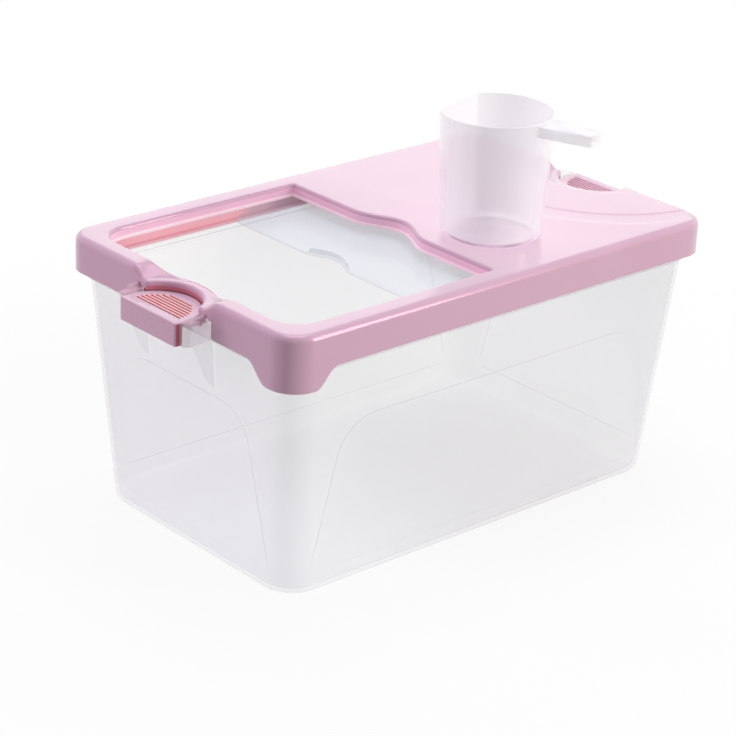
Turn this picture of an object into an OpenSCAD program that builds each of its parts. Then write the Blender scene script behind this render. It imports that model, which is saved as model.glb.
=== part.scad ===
// Rice bin: tapered translucent tub, drop-on lid with a sliding window panel,
// two slide latches on end lugs, and a measuring cup standing on the deck.
// Row frame: the window end faces -Y, the length runs along Y, up is +Z,
// and the origin is the centre of the base.

/* [Lid] */
// Length of the lid over its end faces
lid_l = 385; // [376:1:400]
// Width of the lid over its side faces
lid_w = 240; // [236:1:250]
// Height of the deck above the floor
deck_z = 196; // [194:1:206]
// Depth of the lid skirt
skirt_h = 25; // [22:0.5:28]
// Wall thickness of the skirt
skirt_t = 2.2; // [1.8:0.1:2.6]
// Thickness of the deck
deck_t = 2.5; // [2:0.1:3]
// Vertical corner radius of the lid
lid_corner_r = 20; // [16:1:22]
// Rounding of the top edge of the lid
lid_edge_r = 5; // [3:0.5:6]

/* [Grip tab] */
// Extra drop of the skirt at the front right corner
tab_drop = 13.6; // [8:0.2:18]
// Distance from the corner to the full depth of the tab
tab_inner = 24; // [20:1:30]
// Distance from the corner to where the tab starts
tab_outer = 45; // [40:1:60]
// Extra length of the tab along the long side
tab_side_extra = 6; // [0:1:12]

/* [Window] */
// Width of the rim beside the window
window_rim = 17.6; // [17:0.2:20]
// Distance from the front face to the window edge
window_front_rim = 16; // [14:0.5:18]
// Straight part of the fascia, measured from the middle of the lid
fascia_y = -5; // [-12:0.5:0]
// Rearward bulge of the fascia
fascia_bulge = 13; // [6:0.5:16]
// Half width of the fascia bulge
fascia_bulge_w = 38; // [30:1:50]
// Rearward bulge of the front window edge behind the notch
front_bulge = 9; // [6:0.5:10]
// Half width of the front edge bulge
front_bulge_w = 46; // [40:1:56]
// Corner radius at the front of the window
window_corner_r = 20; // [12:1:26]
// Depth of the recess wall round the window
recess_h = 9; // [8:0.2:9.4]
// Thickness of the recess wall
recess_t = 2.2; // [1.6:0.1:2.4]
// How far the lip at the foot of the recess wall stands in
recess_lip = 0.8; // [0.4:0.1:1.2]
// Height of the lip at the foot of the recess wall
recess_lip_h = 1.8; // [1.2:0.1:2.4]

/* [Rails] */
// Distance from the window edge out to the inside of the rail walls
rail_set_out = 4.8; // [4.6:0.1:5.2]
// Thickness of the rail wall
rail_t = 1.6; // [1.2:0.1:1.8]
// Thickness of the rail ledge
ledge_t = 1.7; // [1.2:0.1:2]
// Distance from the end faces to the ends of the rails
rail_end_gap = 24.5; // [24:0.5:32]
// Depth from the deck top to the ledge top
ledge_drop = 16.5; // [16:0.1:17]

/* [Notches] */
// Radius of the notch at each short end
notch_r = 29.5; // [29.3:0.1:30]
// Distance from the end face out to the notch centre
notch_out = 11.5; // [10:0.5:13]
// Depth of the dip round the notch
dip_h = 7; // [5:0.2:7.5]
// Radius where the dip starts to rise
dip_r_in = 33; // [32:0.5:36]
// Radius where the dip meets the deck
dip_r_out = 53; // [50:1:60]
// Half width of the gap in the skirt under the notch
skirt_gap_half = 41; // [40:0.5:44]
// Set-back of the dipped strip from the end face
end_set_back = 0.3; // [0.2:0.1:0.5]
// Thickness of the notch wall
notch_wall_t = 2.6; // [2.4:0.1:2.8]
// Depth of the notch wall below the deck
notch_wall_drop = 20; // [19:0.2:20.4]
// Radii of the shallow groove round the rear notch
groove_r_in = 99; // [90:1:104]
groove_r_out = 116; // [108:1:122]
// Depth of that groove
groove_d = 0.5; // [0.2:0.1:0.8]

/* [Tub] */
// Inset of the tub wall from the lid face, at the foot of the skirt
tub_inset = 6.8; // [6.5:0.1:8]
// Further inset of the wall down at the floor
tub_draft = 11.4; // [8:0.2:14]
// Wall thickness of the tub
tub_t = 2.2; // [1.8:0.1:2.4]
// Floor thickness of the tub
floor_t = 2.6; // [2:0.1:3.5]
// Vertical corner radius of the tub at the rim
tub_corner_r = 22; // [20:1:26]
// Radius of the rounded foot of the tub
foot_r = 6; // [4:0.5:8]
// Gap between the tub rim and the deck underside
rim_gap = 0.3; // [0.3:0.1:1]
// Height of the ledge ring below the skirt
ring_h = 2.4; // [1.6:0.2:3]
// Gap between that ring and the skirt
ring_gap = 2; // [1.5:0.1:3]
// How far the ring stands out
ring_out = 1.6; // [1:0.1:2.4]

/* [Wall reliefs] */
// Depth of the arch reliefs
relief_d = 0.8; // [0.4:0.1:1]
// Height of the top of the end arch
end_arch_z = 126; // [110:1:130]
// Height of the top of the side arch
side_arch_z = 124; // [110:1:130]
// Distance from the lid faces in to the feet of the arches
arch_foot_in = 36; // [34:1:42]
// Distance from the lid faces in to the shoulders of the arches
arch_top_in = 52; // [46:1:62]
// Corner radius of the arches
arch_r = 30; // [20:1:36]
// Height of the foot of the arches
arch_foot_z = 16; // [12:1:24]

/* [Lugs] */
// Half width of the lug
lug_half_w = 36; // [35.5:0.1:37]
// How far the lug stands out from the lid end face
lug_out = 17; // [16.4:0.1:17.4]
// Wall thickness of the lug
lug_t = 2; // [1.6:0.1:2.2]
// Distance from the deck top down to the foot of the lug
lug_drop = 29; // [28:0.2:30]
// Rounding of the front corners of the lug
lug_corner_r = 5; // [3:0.5:6]
// Height of the lug's front ledges above the top of the latch
lug_rise = 0.9; // [0.4:0.1:1.2]
// Height of the lug's side walls above the top of the latch
lug_back_rise = 3.4; // [2.6:0.1:3.6]
// Height of the gussets below the lug
gusset_h = 37; // [22:1:47]
// Height of the straight foot of the gussets
gusset_foot_h = 10; // [6:1:14]
// Set-back of the gussets from the front of the lug
gusset_in = 6; // [5:0.5:8]

/* [Latch] */
// Radius of the D shaped plate
latch_r = 28.9; // [28.4:0.1:29]
// Half width of the front plate
latch_half_w = 29.3; // [29:0.1:29.5]
// How far the latch stands out from the lid end face
latch_out = 19.8; // [19.6:0.1:20.4]
// Thickness of the D plate
latch_t = 2.5; // [2:0.1:2.6]
// Distance from the deck top down to the top of the latch
latch_drop = 13.6; // [13.5:0.1:13.7]
// Height of the front plate
latch_h = 15.9; // [14:0.1:16.4]
// Thickness of the front plate
latch_front_t = 2.4; // [2:0.1:2.6]
// Depth of the side returns
return_d = 5.8; // [4:0.1:6]
// Inward travel of the latch from released to locked
latch_travel = 3.2; // [2.8:0.1:3.2]
// Radius of the ribbed field
rib_field_r = 23; // [20:0.5:24]
// Pitch of the ribs
rib_pitch = 3; // [2.6:0.1:3.4]
// Number of grooves between the ribs
rib_count = 7; // [5:1:7]
// Width of each groove
rib_groove = 1.5; // [1:0.1:1.8]
// Depth of the grooves
rib_depth = 1; // [0.6:0.1:1.4]

/* [Panel] */
// Thickness of the window panel
panel_t = 1.6; // [1.2:0.1:1.8]
// Gap between the panel and each rail wall
panel_side_gap = 0.6; // [0.5:0.1:0.9]
// Length of the window panel
panel_l = 192; // [184:1:194]
// Distance from the closed to the photographed position
panel_open = 117.5; // [60:0.5:140]
// How far the closed panel reaches past the front edge of the window
panel_lap = 1.5; // [1:0.5:2.5]
// Depth of the finger bay in the front edge
bay_d = 8; // [7:0.5:9]
// Half width of the finger bay
bay_half_w = 26; // [24:1:30]
// Height of the finger pull
pull_h = 4; // [2:0.2:4.2]
// Half width of the finger pull
pull_half_w = 22; // [14:0.5:24]
// Thickness of the finger pull
pull_t = 1.8; // [1.4:0.1:2.4]
// Half length of the shallow recess in the panel
panel_recess_half = 45.6; // [38:0.2:60]
// Distance from the panel's front edge to that recess
panel_recess_in = 12; // [10:0.5:16]
// Width of that recess along the travel
panel_recess_w = 20; // [12:0.5:24]
// Depth of that recess
panel_recess_d = 0.5; // [0.2:0.1:0.8]
// Corner radius at the front of the panel
panel_corner_r = 14; // [8:1:20]
// Height of the upturned side edges
flange_h = 5; // [3:0.2:5.2]
// Thickness of the upturned side edges
flange_t = 1.4; // [1:0.1:1.6]

/* [Cup] */
// Outer radius of the cup at the rim
cup_r = 39.5; // [36:0.5:44]
// Outer radius of the cup at the base
cup_base_r = 35.5; // [32:0.5:38]
// Height of the cup
cup_h = 87.8; // [70:0.2:100]
// Wall thickness of the cup
cup_t = 1.6; // [1.2:0.1:2.2]
// Distance from the axis to the flat at the rim
cup_flat = 31.5; // [28:0.5:36]
// Position of the cup across the deck
cup_x = 50.7; // [30:0.5:60]
// Position of the cup along the deck
cup_y = 43.5; // [40:0.5:90]
// Turn of the cup's handle from the X axis
cup_turn = 15; // [-60:1:60]
// Length of the handle beyond the rim
handle_l = 38; // [25:1:45]
// Half width of the handle at the cup
handle_half_w = 11.5; // [9:0.5:13]
// Half width of the handle at its tip
handle_tip_half_w = 7.5; // [6:0.5:9]
// Depth of the handle's sides
handle_h = 7.5; // [5:0.5:9]

/* [Hidden] */
half_l = lid_l / 2;
half_w = lid_w / 2;
skirt_z = deck_z - skirt_h;
under_z = deck_z - deck_t;
strip_z = deck_z - dip_h;
window_front_y = -half_l + window_front_rim;
window_half_w = half_w - window_rim;
rail_half_w = window_half_w + rail_set_out;
rail_half_l = half_l - rail_end_gap;
panel_half_w = rail_half_w - panel_side_gap;
recess_z = deck_z - recess_h;
ledge_z = deck_z - ledge_drop;
notch_c = half_l + notch_out;
notch_foot_z = deck_z - notch_wall_drop;
fit_gap = 0.4;
arc_n = 12;
// rim height and the lines of the tub wall
rim_z = under_z - rim_gap;
taper = tub_draft / skirt_z;
tub_angle = atan(taper);
latch_z = deck_z - latch_drop;
shelf_z = latch_z - latch_t - 0.3;
shelf_t = 2.4;
shelf_r = notch_r - fit_gap - 0.4;
groove_floor_z = notch_foot_z - 0.8;
lug_y = half_l + lug_out;
lug_z0 = deck_z - lug_drop;
lug_top = latch_z + lug_rise;
lug_back_top = latch_z + lug_back_rise;
gusset_z = lug_z0 - gusset_h;
lug_root = 5;
lug_step_in = 8;
post_gap = 0.9;
latch_y = half_l + latch_out;
slot_half_w = latch_r - 0.8;
stem_half_w = 6;
stem_y = half_l + 1.5;
stem_l = 5.5;
foot_gap = 0.4;
foot_t = 2.2;
panel_z = ledge_z + 0.3;
panel_y = window_front_y - panel_lap + panel_open;
pink = [0.91, 0.77, 0.87];
frost = [0.89, 0.90, 0.93, 0.55];

// points of a rounded rectangle, corner by corner
function rr(w, l, r) = [
    for (q = [0 : 3], i = [0 : arc_n])
        let (a = 90 * (q + i / arc_n), sx = (q == 0 || q == 3) ? 1 : -1, sy = q < 2 ? 1 : -1)
            [sx * (w / 2 - r) + r * cos(a), sy * (l / 2 - r) + r * sin(a)]
];

// smooth step from 0 to 1
function ease(t) = let (c = max(0, min(1, t))) c * c * (3 - 2 * c);

// one smooth bump of height 1 over -w to w
function bump(x, w) = abs(x) >= w ? 0 : pow(cos(90 * x / w), 2);

// window outline grown by d
function window_pts(d) = let (w = window_half_w + d, r = window_corner_r + d, n = 32) concat(
    [for (i = [0 : n]) let (x = -w + 2 * w * i / n) [x, fascia_y + d + fascia_bulge * bump(x, fascia_bulge_w)]],
    [for (i = [0 : arc_n]) let (a = -90 * i / arc_n) [w - r + r * cos(a), window_front_y - d + r + r * sin(a)]],
    [for (i = [1 : n - 1]) let (x = (w - r) * (1 - 2 * i / n))
        [x, window_front_y - d + front_bulge * bump(x, front_bulge_w)]],
    [for (i = [0 : arc_n]) let (a = -90 - 90 * i / arc_n)
        [-w + r + r * cos(a), window_front_y - d + r + r * sin(a)]]
);

// arch outline in wall coordinates: x along the wall, y up the slope
function arch_pts(foot, top, h, r) = let (n = arc_n, a1 = atan((foot - top) / (h - arch_foot_z))) concat(
    [[foot, arch_foot_z]],
    [for (i = [0 : n]) let (a = a1 + (90 - a1) * i / n) [top - r + r * cos(a), h - r + r * sin(a)]],
    [for (i = [n : -1 : 0]) let (a = a1 + (90 - a1) * i / n) [-(top - r) - r * cos(a), h - r + r * sin(a)]],
    [[-foot, arch_foot_z]]
);

module slab(w, l, r, z, h) {
    translate([0, 0, z])
        linear_extrude(h)
            polygon(rr(w, l, r));
}

// copies its children to both short ends
module both_ends() {
    children();
    rotate(180)
        children();
}

// points of the dip's profile, from the flat strip up to near the deck, lowered by drop
function dip_pts(drop) = [
    for (i = [0 : 13])
        [dip_r_in + (dip_r_out - dip_r_in) * i / 14, strip_z - drop + dip_h * ease(i / 14)]
];

// body of revolution about the notch centre, everything above the lowered dip
module dip(drop) {
    translate([0, -notch_c, 0])
        rotate_extrude($fn = 96)
            polygon(concat(
                [[0, deck_z + 10], [0, strip_z - drop]],
                dip_pts(drop),
                [[dip_r_out + 1.5, deck_z + 0.15 - drop], [dip_r_out + 1.5, deck_z + 10]]
            ));
}

// ring about the notch centre, kept inside the lid
module notch_ring(r0, r1, z0, z1) {
    intersection() {
        translate([0, -notch_c, z0])
            difference() {
                cylinder(r = r1, h = z1 - z0, $fn = 96);
                translate([0, 0, -1])
                    cylinder(r = r0, h = z1 - z0 + 2, $fn = 96);
            }
        translate([-r1 - 1, -half_l - 1, z0 - 1])
            cube([2 * r1 + 2, r1, z1 - z0 + 2]);
    }
}

// solid through rounded rectangles [width, length, corner radius, height]
module ring_stack(rings) {
    n = 4 * (arc_n + 1);
    m = len(rings);
    polyhedron(
        points = [for (k = rings) for (p = rr(k[0], k[1], k[2])) [p[0], p[1], k[3]]],
        faces = concat(
            [[for (i = [0 : n - 1]) i]],
            [[for (i = [n - 1 : -1 : 0]) (m - 1) * n + i]],
            [for (j = [0 : m - 2], i = [0 : n - 1])
                let (i2 = (i + 1) % n) [j * n + i, (j + 1) * n + i, (j + 1) * n + i2, j * n + i2]]
        ));
}

// ---- tub ----
// one ring of the tapered tub at height z, set in by off
function tub_ring(z, off, r) = let (d = tub_inset + (skirt_z - z) * taper + off)
    [lid_w - 2 * d, lid_l - 2 * d, r - off, z];

// tub volume set in by the wall, with a rounded foot
module tub_solid(inset, z0, z1, r0) {
    ring_stack(concat(
        [for (i = [0 : 5]) let (a = 90 * i / 5)
            tub_ring(z0 + r0 * (1 - cos(a)), inset + r0 * (1 - sin(a)), tub_corner_r + 4)],
        [tub_ring(z1, inset, tub_corner_r - 2)]
    ));
}

// arch relief on the wall that lies dist from the middle and is 2 * across wide
module relief(across, dist, h) {
    translate([0, tub_inset + tub_draft - dist, 0])
        rotate([90 + tub_angle, 0, 0])
            translate([0, 0, -relief_d])
                linear_extrude(relief_d + 8)
                    polygon(arch_pts(across - arch_foot_in, across - arch_top_in, h, arch_r));
}

module lug() {
    wall_h = lug_back_top - lug_z0;
    // box walls, open below and at the front between the corner posts
    difference() {
        translate([0, -half_l - lug_out / 2 + lug_root, lug_z0])
            linear_extrude(wall_h)
                polygon(rr(2 * lug_half_w, lug_out + 2 * lug_root, lug_corner_r));
        translate([0, -half_l - lug_out / 2 + lug_root, lug_z0 - 1])
            linear_extrude(wall_h + 2)
                polygon(rr(2 * (lug_half_w - lug_t), lug_out + 2 * (lug_root - lug_t), lug_corner_r - lug_t));
        translate([-latch_half_w - 1, -lug_y - 1, lug_z0 - 1])
            cube([2 * latch_half_w + 2, lug_out - lug_root, wall_h + 2]);
        // the walls step down at the front
        translate([-lug_half_w - 1, -lug_y - 1, lug_top])
            cube([2 * lug_half_w + 2, lug_step_in + 1, wall_h]);
        translate([-lug_half_w - 1, -half_l + lug_root, lug_z0 - 1])
            cube([2 * lug_half_w + 2, 4 * lug_root, wall_h + 2]);
    }
    // ledges beside the latch
    for (s = [-1, 1])
        translate([s > 0 ? latch_half_w + post_gap : -lug_half_w + lug_t / 2,
                -lug_y + lug_t / 2, lug_top - shelf_t])
            cube([lug_half_w - latch_half_w - post_gap - lug_t / 2, lug_out + lug_root, shelf_t]);
    // shelf that carries the latch
    difference() {
        union() {
            translate([-lug_half_w + lug_t / 2, -lug_y + return_d + 1.2, shelf_z - shelf_t])
                cube([2 * lug_half_w - lug_t, lug_out + 2, shelf_t]);
            translate([-latch_half_w + 3, -lug_y + latch_front_t + 1.1, shelf_z - shelf_t])
                cube([2 * latch_half_w - 6, return_d, shelf_t]);
            intersection() {
                translate([0, -notch_c, shelf_z - shelf_t])
                    cylinder(r = shelf_r, h = shelf_t, $fn = 96);
                translate([-notch_r, -lug_y + return_d + 1.3, shelf_z - 2 * shelf_t])
                    cube([2 * notch_r, 2 * notch_r, 4 * shelf_t]);
            }
        }
        // slot for the latch stem
        translate([-stem_half_w - 0.5, -stem_y - stem_l - 0.5, shelf_z - 2 * shelf_t])
            cube([2 * stem_half_w + 1, stem_l + latch_travel + 1, 4 * shelf_t]);
    }
    // gussets
    for (s = [-1, 1])
        translate([s * (lug_half_w - lug_t / 2) - lug_t / 2, 0, 0])
            rotate([90, 0, 90])
                linear_extrude(lug_t)
                    polygon([
                        [-half_l + tub_inset + 1, lug_z0 + 1],
                        [-lug_y + gusset_in, lug_z0 + 1],
                        [-lug_y + 1.5 * gusset_in, lug_z0 - gusset_in / 2],
                        [-half_l + 2, gusset_z + gusset_foot_h],
                        [-half_l + tub_inset + (skirt_z - gusset_z) * taper + 1, gusset_z]
                    ]);
}

module bin_body() {
    color(frost)
        difference() {
            union() {
                difference() {
                    union() {
                        tub_solid(0, 0, rim_z, foot_r);
                        slab(lid_w - 2 * (tub_inset - ring_out), lid_l - 2 * (tub_inset - ring_out),
                            tub_corner_r, skirt_z - ring_gap - ring_h, ring_h);
                    }
                    tub_solid(tub_t, floor_t, rim_z + 2, foot_r - 1);
                    both_ends()
                        relief(half_w, half_l, end_arch_z);
                    rotate(90)
                        both_ends()
                            relief(half_l, half_w, side_arch_z);
                    both_ends()
                        dip(deck_t + fit_gap);
                    both_ends()
                        translate([0, -notch_c, shelf_z])
                            cylinder(r = notch_r, h = 30, $fn = 96);
                }
                both_ends()
                    lug();
            }
            both_ends()
                notch_ring(notch_r - fit_gap, notch_r + notch_wall_t + fit_gap, groove_floor_z, deck_z);
        }
}

// ---- lid ----
module lid_shell() {
    ring_stack(concat(
        [[lid_w, lid_l, lid_corner_r, skirt_z - tab_drop]],
        [for (i = [0 : 6])
            let (a = 90 * i / 6, d = lid_edge_r * (1 - cos(a)))
                [lid_w - 2 * d, lid_l - 2 * d, lid_corner_r - d, deck_z - lid_edge_r * (1 - sin(a))]]
    ));
}

// S-shaped lower edge, from full drop at the corner to nothing
function tab_edge(d) = skirt_z - tab_drop * (1 - ease((d - tab_inner) / (tab_outer - tab_inner)));

// everything below the skirt's foot except the grip tab at the front right corner
module below_skirt() {
    foot = skirt_z - tab_drop - 10;
    side_outer = tab_outer + tab_side_extra;
    rotate([90, 0, 0])
        linear_extrude(lid_l + 20, center = true)
            polygon(concat(
                [for (i = [0 : 20]) let (d = tab_outer * i / 20) [half_w - d, tab_edge(d)]],
                [[-half_w - 5, skirt_z], [-half_w - 5, foot]],
                [[half_w + 5, foot], [half_w + 5, skirt_z - tab_drop]]
            ));
    rotate([90, 0, 90])
        linear_extrude(lid_w + 20, center = true)
            polygon(concat(
                [for (i = [0 : 20]) let (d = side_outer * i / 20) [-half_l + d, tab_edge(tab_outer * i / 20)]],
                [[half_l + 5, skirt_z], [half_l + 5, foot]],
                [[-half_l - 5, foot], [-half_l - 5, skirt_z - tab_drop]]
            ));
}

module rail_set() {
    for (s = [-1, 1]) {
        translate([s > 0 ? rail_half_w : -rail_half_w - rail_t, -rail_half_l, ledge_z - ledge_t])
            cube([rail_t, 2 * rail_half_l, under_z - ledge_z + ledge_t + 1]);
        translate([s > 0 ? window_half_w + 0.6 : -rail_half_w - rail_t / 2, -rail_half_l, ledge_z - ledge_t])
            cube([rail_half_w - window_half_w - 0.6 + rail_t / 2, 2 * rail_half_l, ledge_t]);
    }
}

// notch wall, dipped floor and the filling above them, cut open later by dip_cut()
module dip_body() {
    front = -half_l + end_set_back;
    intersection() {
        translate([0, -notch_c, 0])
            rotate_extrude($fn = 96)
                polygon(concat(
                    [[0, notch_foot_z], [notch_r + notch_wall_t, notch_foot_z]],
                    [[notch_r + notch_wall_t, strip_z - deck_t]],
                    dip_pts(deck_t),
                    [[dip_r_out + 2, under_z + 0.6], [dip_r_out + 2, deck_z - 1], [0, deck_z - 1]]
                ));
        // keeps it behind the end face and inside the rounded top edge
        rotate([90, 0, 90])
            linear_extrude(3 * dip_r_out, center = true)
                polygon([
                    [front, notch_foot_z - 5],
                    [front, deck_z - lid_edge_r - 0.1],
                    [front + lid_edge_r / 2, deck_z - 0.7],
                    [front + 1.5 * dip_r_out, deck_z - 0.7],
                    [front + 1.5 * dip_r_out, notch_foot_z - 5]
                ]);
    }
}

// dip above the strip and the round notch through it, in one body
module dip_cut() {
    translate([0, -notch_c, 0])
        rotate_extrude($fn = 96)
            polygon(concat(
                [[0, deck_z + 10], [0, notch_foot_z - 1], [notch_r, notch_foot_z - 1], [notch_r, strip_z]],
                dip_pts(0),
                [[dip_r_out + 1.5, deck_z + 0.15], [dip_r_out + 1.5, deck_z + 10]]
            ));
}

module recess_block() {
    translate([0, 0, recess_z])
        linear_extrude(recess_h - 1)
            polygon(window_pts(recess_t));
}

// window opening, with a lip left at the foot of the recess
module window_cut() {
    translate([0, 0, recess_z - 5])
        linear_extrude(deck_z)
            polygon(window_pts(-recess_lip));
    translate([0, 0, recess_z + recess_lip_h])
        linear_extrude(deck_z)
            polygon(window_pts(0));
}

// slot in the notch wall that takes the latch plate
module latch_slot() {
    translate([-slot_half_w, -half_l - 5, shelf_z - fit_gap])
        cube([2 * slot_half_w, notch_r + notch_wall_t + 5, latch_t + 0.3 + 2 * fit_gap]);
}

// shallow groove on the rear deck
module rear_groove() {
    translate([0, notch_c, deck_z - groove_d])
        difference() {
            cylinder(r = groove_r_out, h = 5, $fn = 128);
            translate([0, 0, -1])
                cylinder(r = groove_r_in, h = 7, $fn = 128);
        }
}

module hollow_shell() {
    difference() {
        lid_shell();
        below_skirt();
        slab(lid_w - 2 * skirt_t, lid_l - 2 * skirt_t, lid_corner_r - skirt_t,
            skirt_z - tab_drop - 5, under_z - skirt_z + tab_drop + 5);
        // gap in the skirt below each notch
        both_ends()
            translate([-skirt_gap_half, -half_l - 5, skirt_z - 5])
                cube([2 * skirt_gap_half, 20, under_z + 0.5 - skirt_z + 5]);
    }
}

module lid_frame() {
    color(pink)
        difference() {
            difference() {
                union() {
                    hollow_shell();
                    both_ends()
                        dip_body();
                    recess_block();
                    rail_set();
                }
                both_ends()
                    latch_slot();
                rear_groove();
                window_cut();
                dip_cut();
            }
            rotate(180)
                dip_cut();
        }
}

// ---- window panel ----
function panel_front(x) = panel_y + bay_d * bump(x, bay_half_w);

module window_panel() {
    color(frost) {
        difference() {
            translate([0, 0, panel_z])
                linear_extrude(panel_t)
                    polygon(concat(
                        [for (i = [0 : arc_n]) let (a = 180 + 90 * i / arc_n)
                            [-panel_half_w + panel_corner_r + panel_corner_r * cos(a),
                                panel_y + panel_corner_r + panel_corner_r * sin(a)]],
                        [for (i = [0 : 24]) let (x = bay_half_w * (i / 12 - 1)) [x, panel_front(x)]],
                        [for (i = [0 : arc_n]) let (a = 270 + 90 * i / arc_n)
                            [panel_half_w - panel_corner_r + panel_corner_r * cos(a),
                                panel_y + panel_corner_r + panel_corner_r * sin(a)]],
                        [[panel_half_w, panel_y + panel_l], [-panel_half_w, panel_y + panel_l]]
                    ));
            translate([-panel_recess_half, panel_y + panel_recess_in, panel_z + panel_t - panel_recess_d])
                cube([2 * panel_recess_half, panel_recess_w, panel_t]);
        }
        // upturned side edges that run in the rails
        for (s = [-1, 1])
            translate([s > 0 ? panel_half_w - flange_t : -panel_half_w, panel_y + panel_corner_r, panel_z])
                cube([flange_t, panel_l - panel_corner_r, panel_t + flange_h]);
        // finger pull along the bay
        translate([0, 0, panel_z])
            linear_extrude(panel_t + pull_h)
                polygon(concat(
                    [for (i = [0 : 20]) let (x = pull_half_w * (i / 10 - 1)) [x, panel_front(x)]],
                    [for (i = [20 : -1 : 0]) let (x = pull_half_w * (i / 10 - 1)) [x, panel_front(x) + pull_t]]
                ));
    }
}

// ---- latch ----
module latch() {
    color(pink)
        union() {
            difference() {
                union() {
                    translate([0, -notch_c, latch_z - latch_t])
                        cylinder(r = latch_r, h = latch_t, $fn = 96);
                    translate([-latch_half_w, -latch_y, latch_z - latch_t])
                        cube([2 * latch_half_w, latch_y - notch_c, latch_t]);
                }
                translate([-latch_half_w - 1, -latch_y - 2 * latch_r, latch_z - 2 * latch_t])
                    cube([2 * latch_half_w + 2, 2 * latch_r, 3 * latch_t]);
                intersection() {
                    translate([0, -notch_c, latch_z - rib_depth])
                        cylinder(r = rib_field_r, h = 2 * rib_depth, $fn = 96);
                    for (i = [0 : rib_count - 1])
                        translate([-latch_r, -notch_c + i * rib_pitch, latch_z - rib_depth])
                            cube([2 * latch_r, rib_groove, 3 * rib_depth]);
                }
            }
            translate([-latch_half_w, -latch_y, latch_z - latch_h])
                cube([2 * latch_half_w, latch_front_t, latch_h - 0.5]);
            for (s = [-1, 1])
                translate([s > 0 ? latch_half_w - 2 : -latch_half_w, -latch_y, latch_z - latch_h])
                    cube([2, return_d, latch_h - 0.5]);
            // stem and foot that hold the latch to the shelf
            translate([-stem_half_w, -stem_y - stem_l, shelf_z - shelf_t - foot_gap - foot_t + 0.5])
                cube([2 * stem_half_w, stem_l, latch_z - shelf_z + shelf_t + foot_gap + foot_t - 1.6 - 0.5]);
            translate([-stem_half_w - 3, -stem_y - stem_l, shelf_z - shelf_t - foot_gap - foot_t])
                cube([2 * stem_half_w + 6, stem_l, foot_t]);
        }
}

module front_latch() {
    latch();
}

module rear_latch() {
    rotate(180)
        latch();
}

// ---- cup ----
// solid cup shape with its flat side, grown or shrunk by d
module cup_solid(d, z0, r_foot) {
    slope = (cup_r - cup_base_r) / cup_h;
    difference() {
        rotate_extrude($fn = 128)
            polygon(concat(
                [[0, z0]],
                [for (i = [0 : 5]) let (a = 90 * i / 5)
                    [cup_base_r + d - r_foot + r_foot * sin(a), z0 + r_foot * (1 - cos(a))]],
                [[cup_r + d, cup_h + (d < 0 ? 1 : 0)], [0, cup_h + (d < 0 ? 1 : 0)]]
            ));
        translate([-cup_flat - d, 0, cup_h])
            rotate([0, -atan(slope), 0])
                translate([-cup_r, -2 * cup_r, -1.5 * cup_h])
                    cube([cup_r, 4 * cup_r, 1.6 * cup_h]);
    }
}

module handle_shape(d, h) {
    linear_extrude(h)
        polygon(concat(
            [[cup_r - 3, -handle_half_w + d]],
            [for (i = [0 : 8]) let (a = -90 + 90 * i / 8)
                [cup_r + handle_l - 5 + (5 - d) * cos(a), -handle_tip_half_w + 5 + (5 - d) * sin(a)]],
            [for (i = [0 : 8]) let (a = 90 * i / 8)
                [cup_r + handle_l - 5 + (5 - d) * cos(a), handle_tip_half_w - 5 + (5 - d) * sin(a)]],
            [[cup_r - 3, handle_half_w - d]]
        ));
}

module measuring_cup() {
    color(frost)
        translate([cup_x, cup_y, deck_z])
            rotate(cup_turn)
                difference() {
                    union() {
                        cup_solid(0, 0, 5);
                        difference() {
                            translate([0, 0, cup_h - 1 - handle_h])
                                handle_shape(0, handle_h);
                            translate([0, 0, cup_h - 1 - handle_h - cup_t])
                                handle_shape(cup_t, handle_h);
                        }
                    }
                    cup_solid(-cup_t, 2, 4);
                }
}

bin_body();
lid_frame();
window_panel();
front_latch();
rear_latch();
measuring_cup();
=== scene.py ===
"""Rice bin: translucent tub, pink drop-on lid, sliding window panel, slide latches and a measuring cup.

Lengths are in metres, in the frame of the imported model: the window end faces -Y and +Z is up.
"""

import logging
import math
from collections.abc import Callable, Iterable, Sequence
from dataclasses import dataclass, field
from enum import Enum, IntEnum

import bpy
import numpy as np
from mathutils import Matrix, Vector
from mathutils.geometry import delaunay_2d_cdt


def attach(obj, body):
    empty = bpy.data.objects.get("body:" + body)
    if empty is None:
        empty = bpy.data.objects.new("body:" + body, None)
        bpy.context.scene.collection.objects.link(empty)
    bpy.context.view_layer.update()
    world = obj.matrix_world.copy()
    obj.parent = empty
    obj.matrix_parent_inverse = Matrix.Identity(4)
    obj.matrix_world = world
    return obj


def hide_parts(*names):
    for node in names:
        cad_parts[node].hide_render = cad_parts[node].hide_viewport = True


LOG = logging.getLogger("rice_bin")
MM = 0.001
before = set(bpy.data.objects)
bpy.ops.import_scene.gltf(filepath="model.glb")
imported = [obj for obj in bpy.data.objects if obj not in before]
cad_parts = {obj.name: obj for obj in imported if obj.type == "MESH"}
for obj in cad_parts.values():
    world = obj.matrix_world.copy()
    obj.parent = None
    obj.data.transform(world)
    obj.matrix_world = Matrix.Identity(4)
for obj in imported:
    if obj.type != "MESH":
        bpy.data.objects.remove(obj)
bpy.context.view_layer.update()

Point = tuple[float, float]
Place = tuple[float, float, float]
Block = tuple[float, float, float, float, float, float]
Height = Callable[[np.ndarray], np.ndarray]
Feed = float | Sequence[float] | bpy.types.NodeSocket
WHITE = (1.0, 1.0, 1.0, 1.0)


# ---------------------------------------------------------------- node helpers


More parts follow.
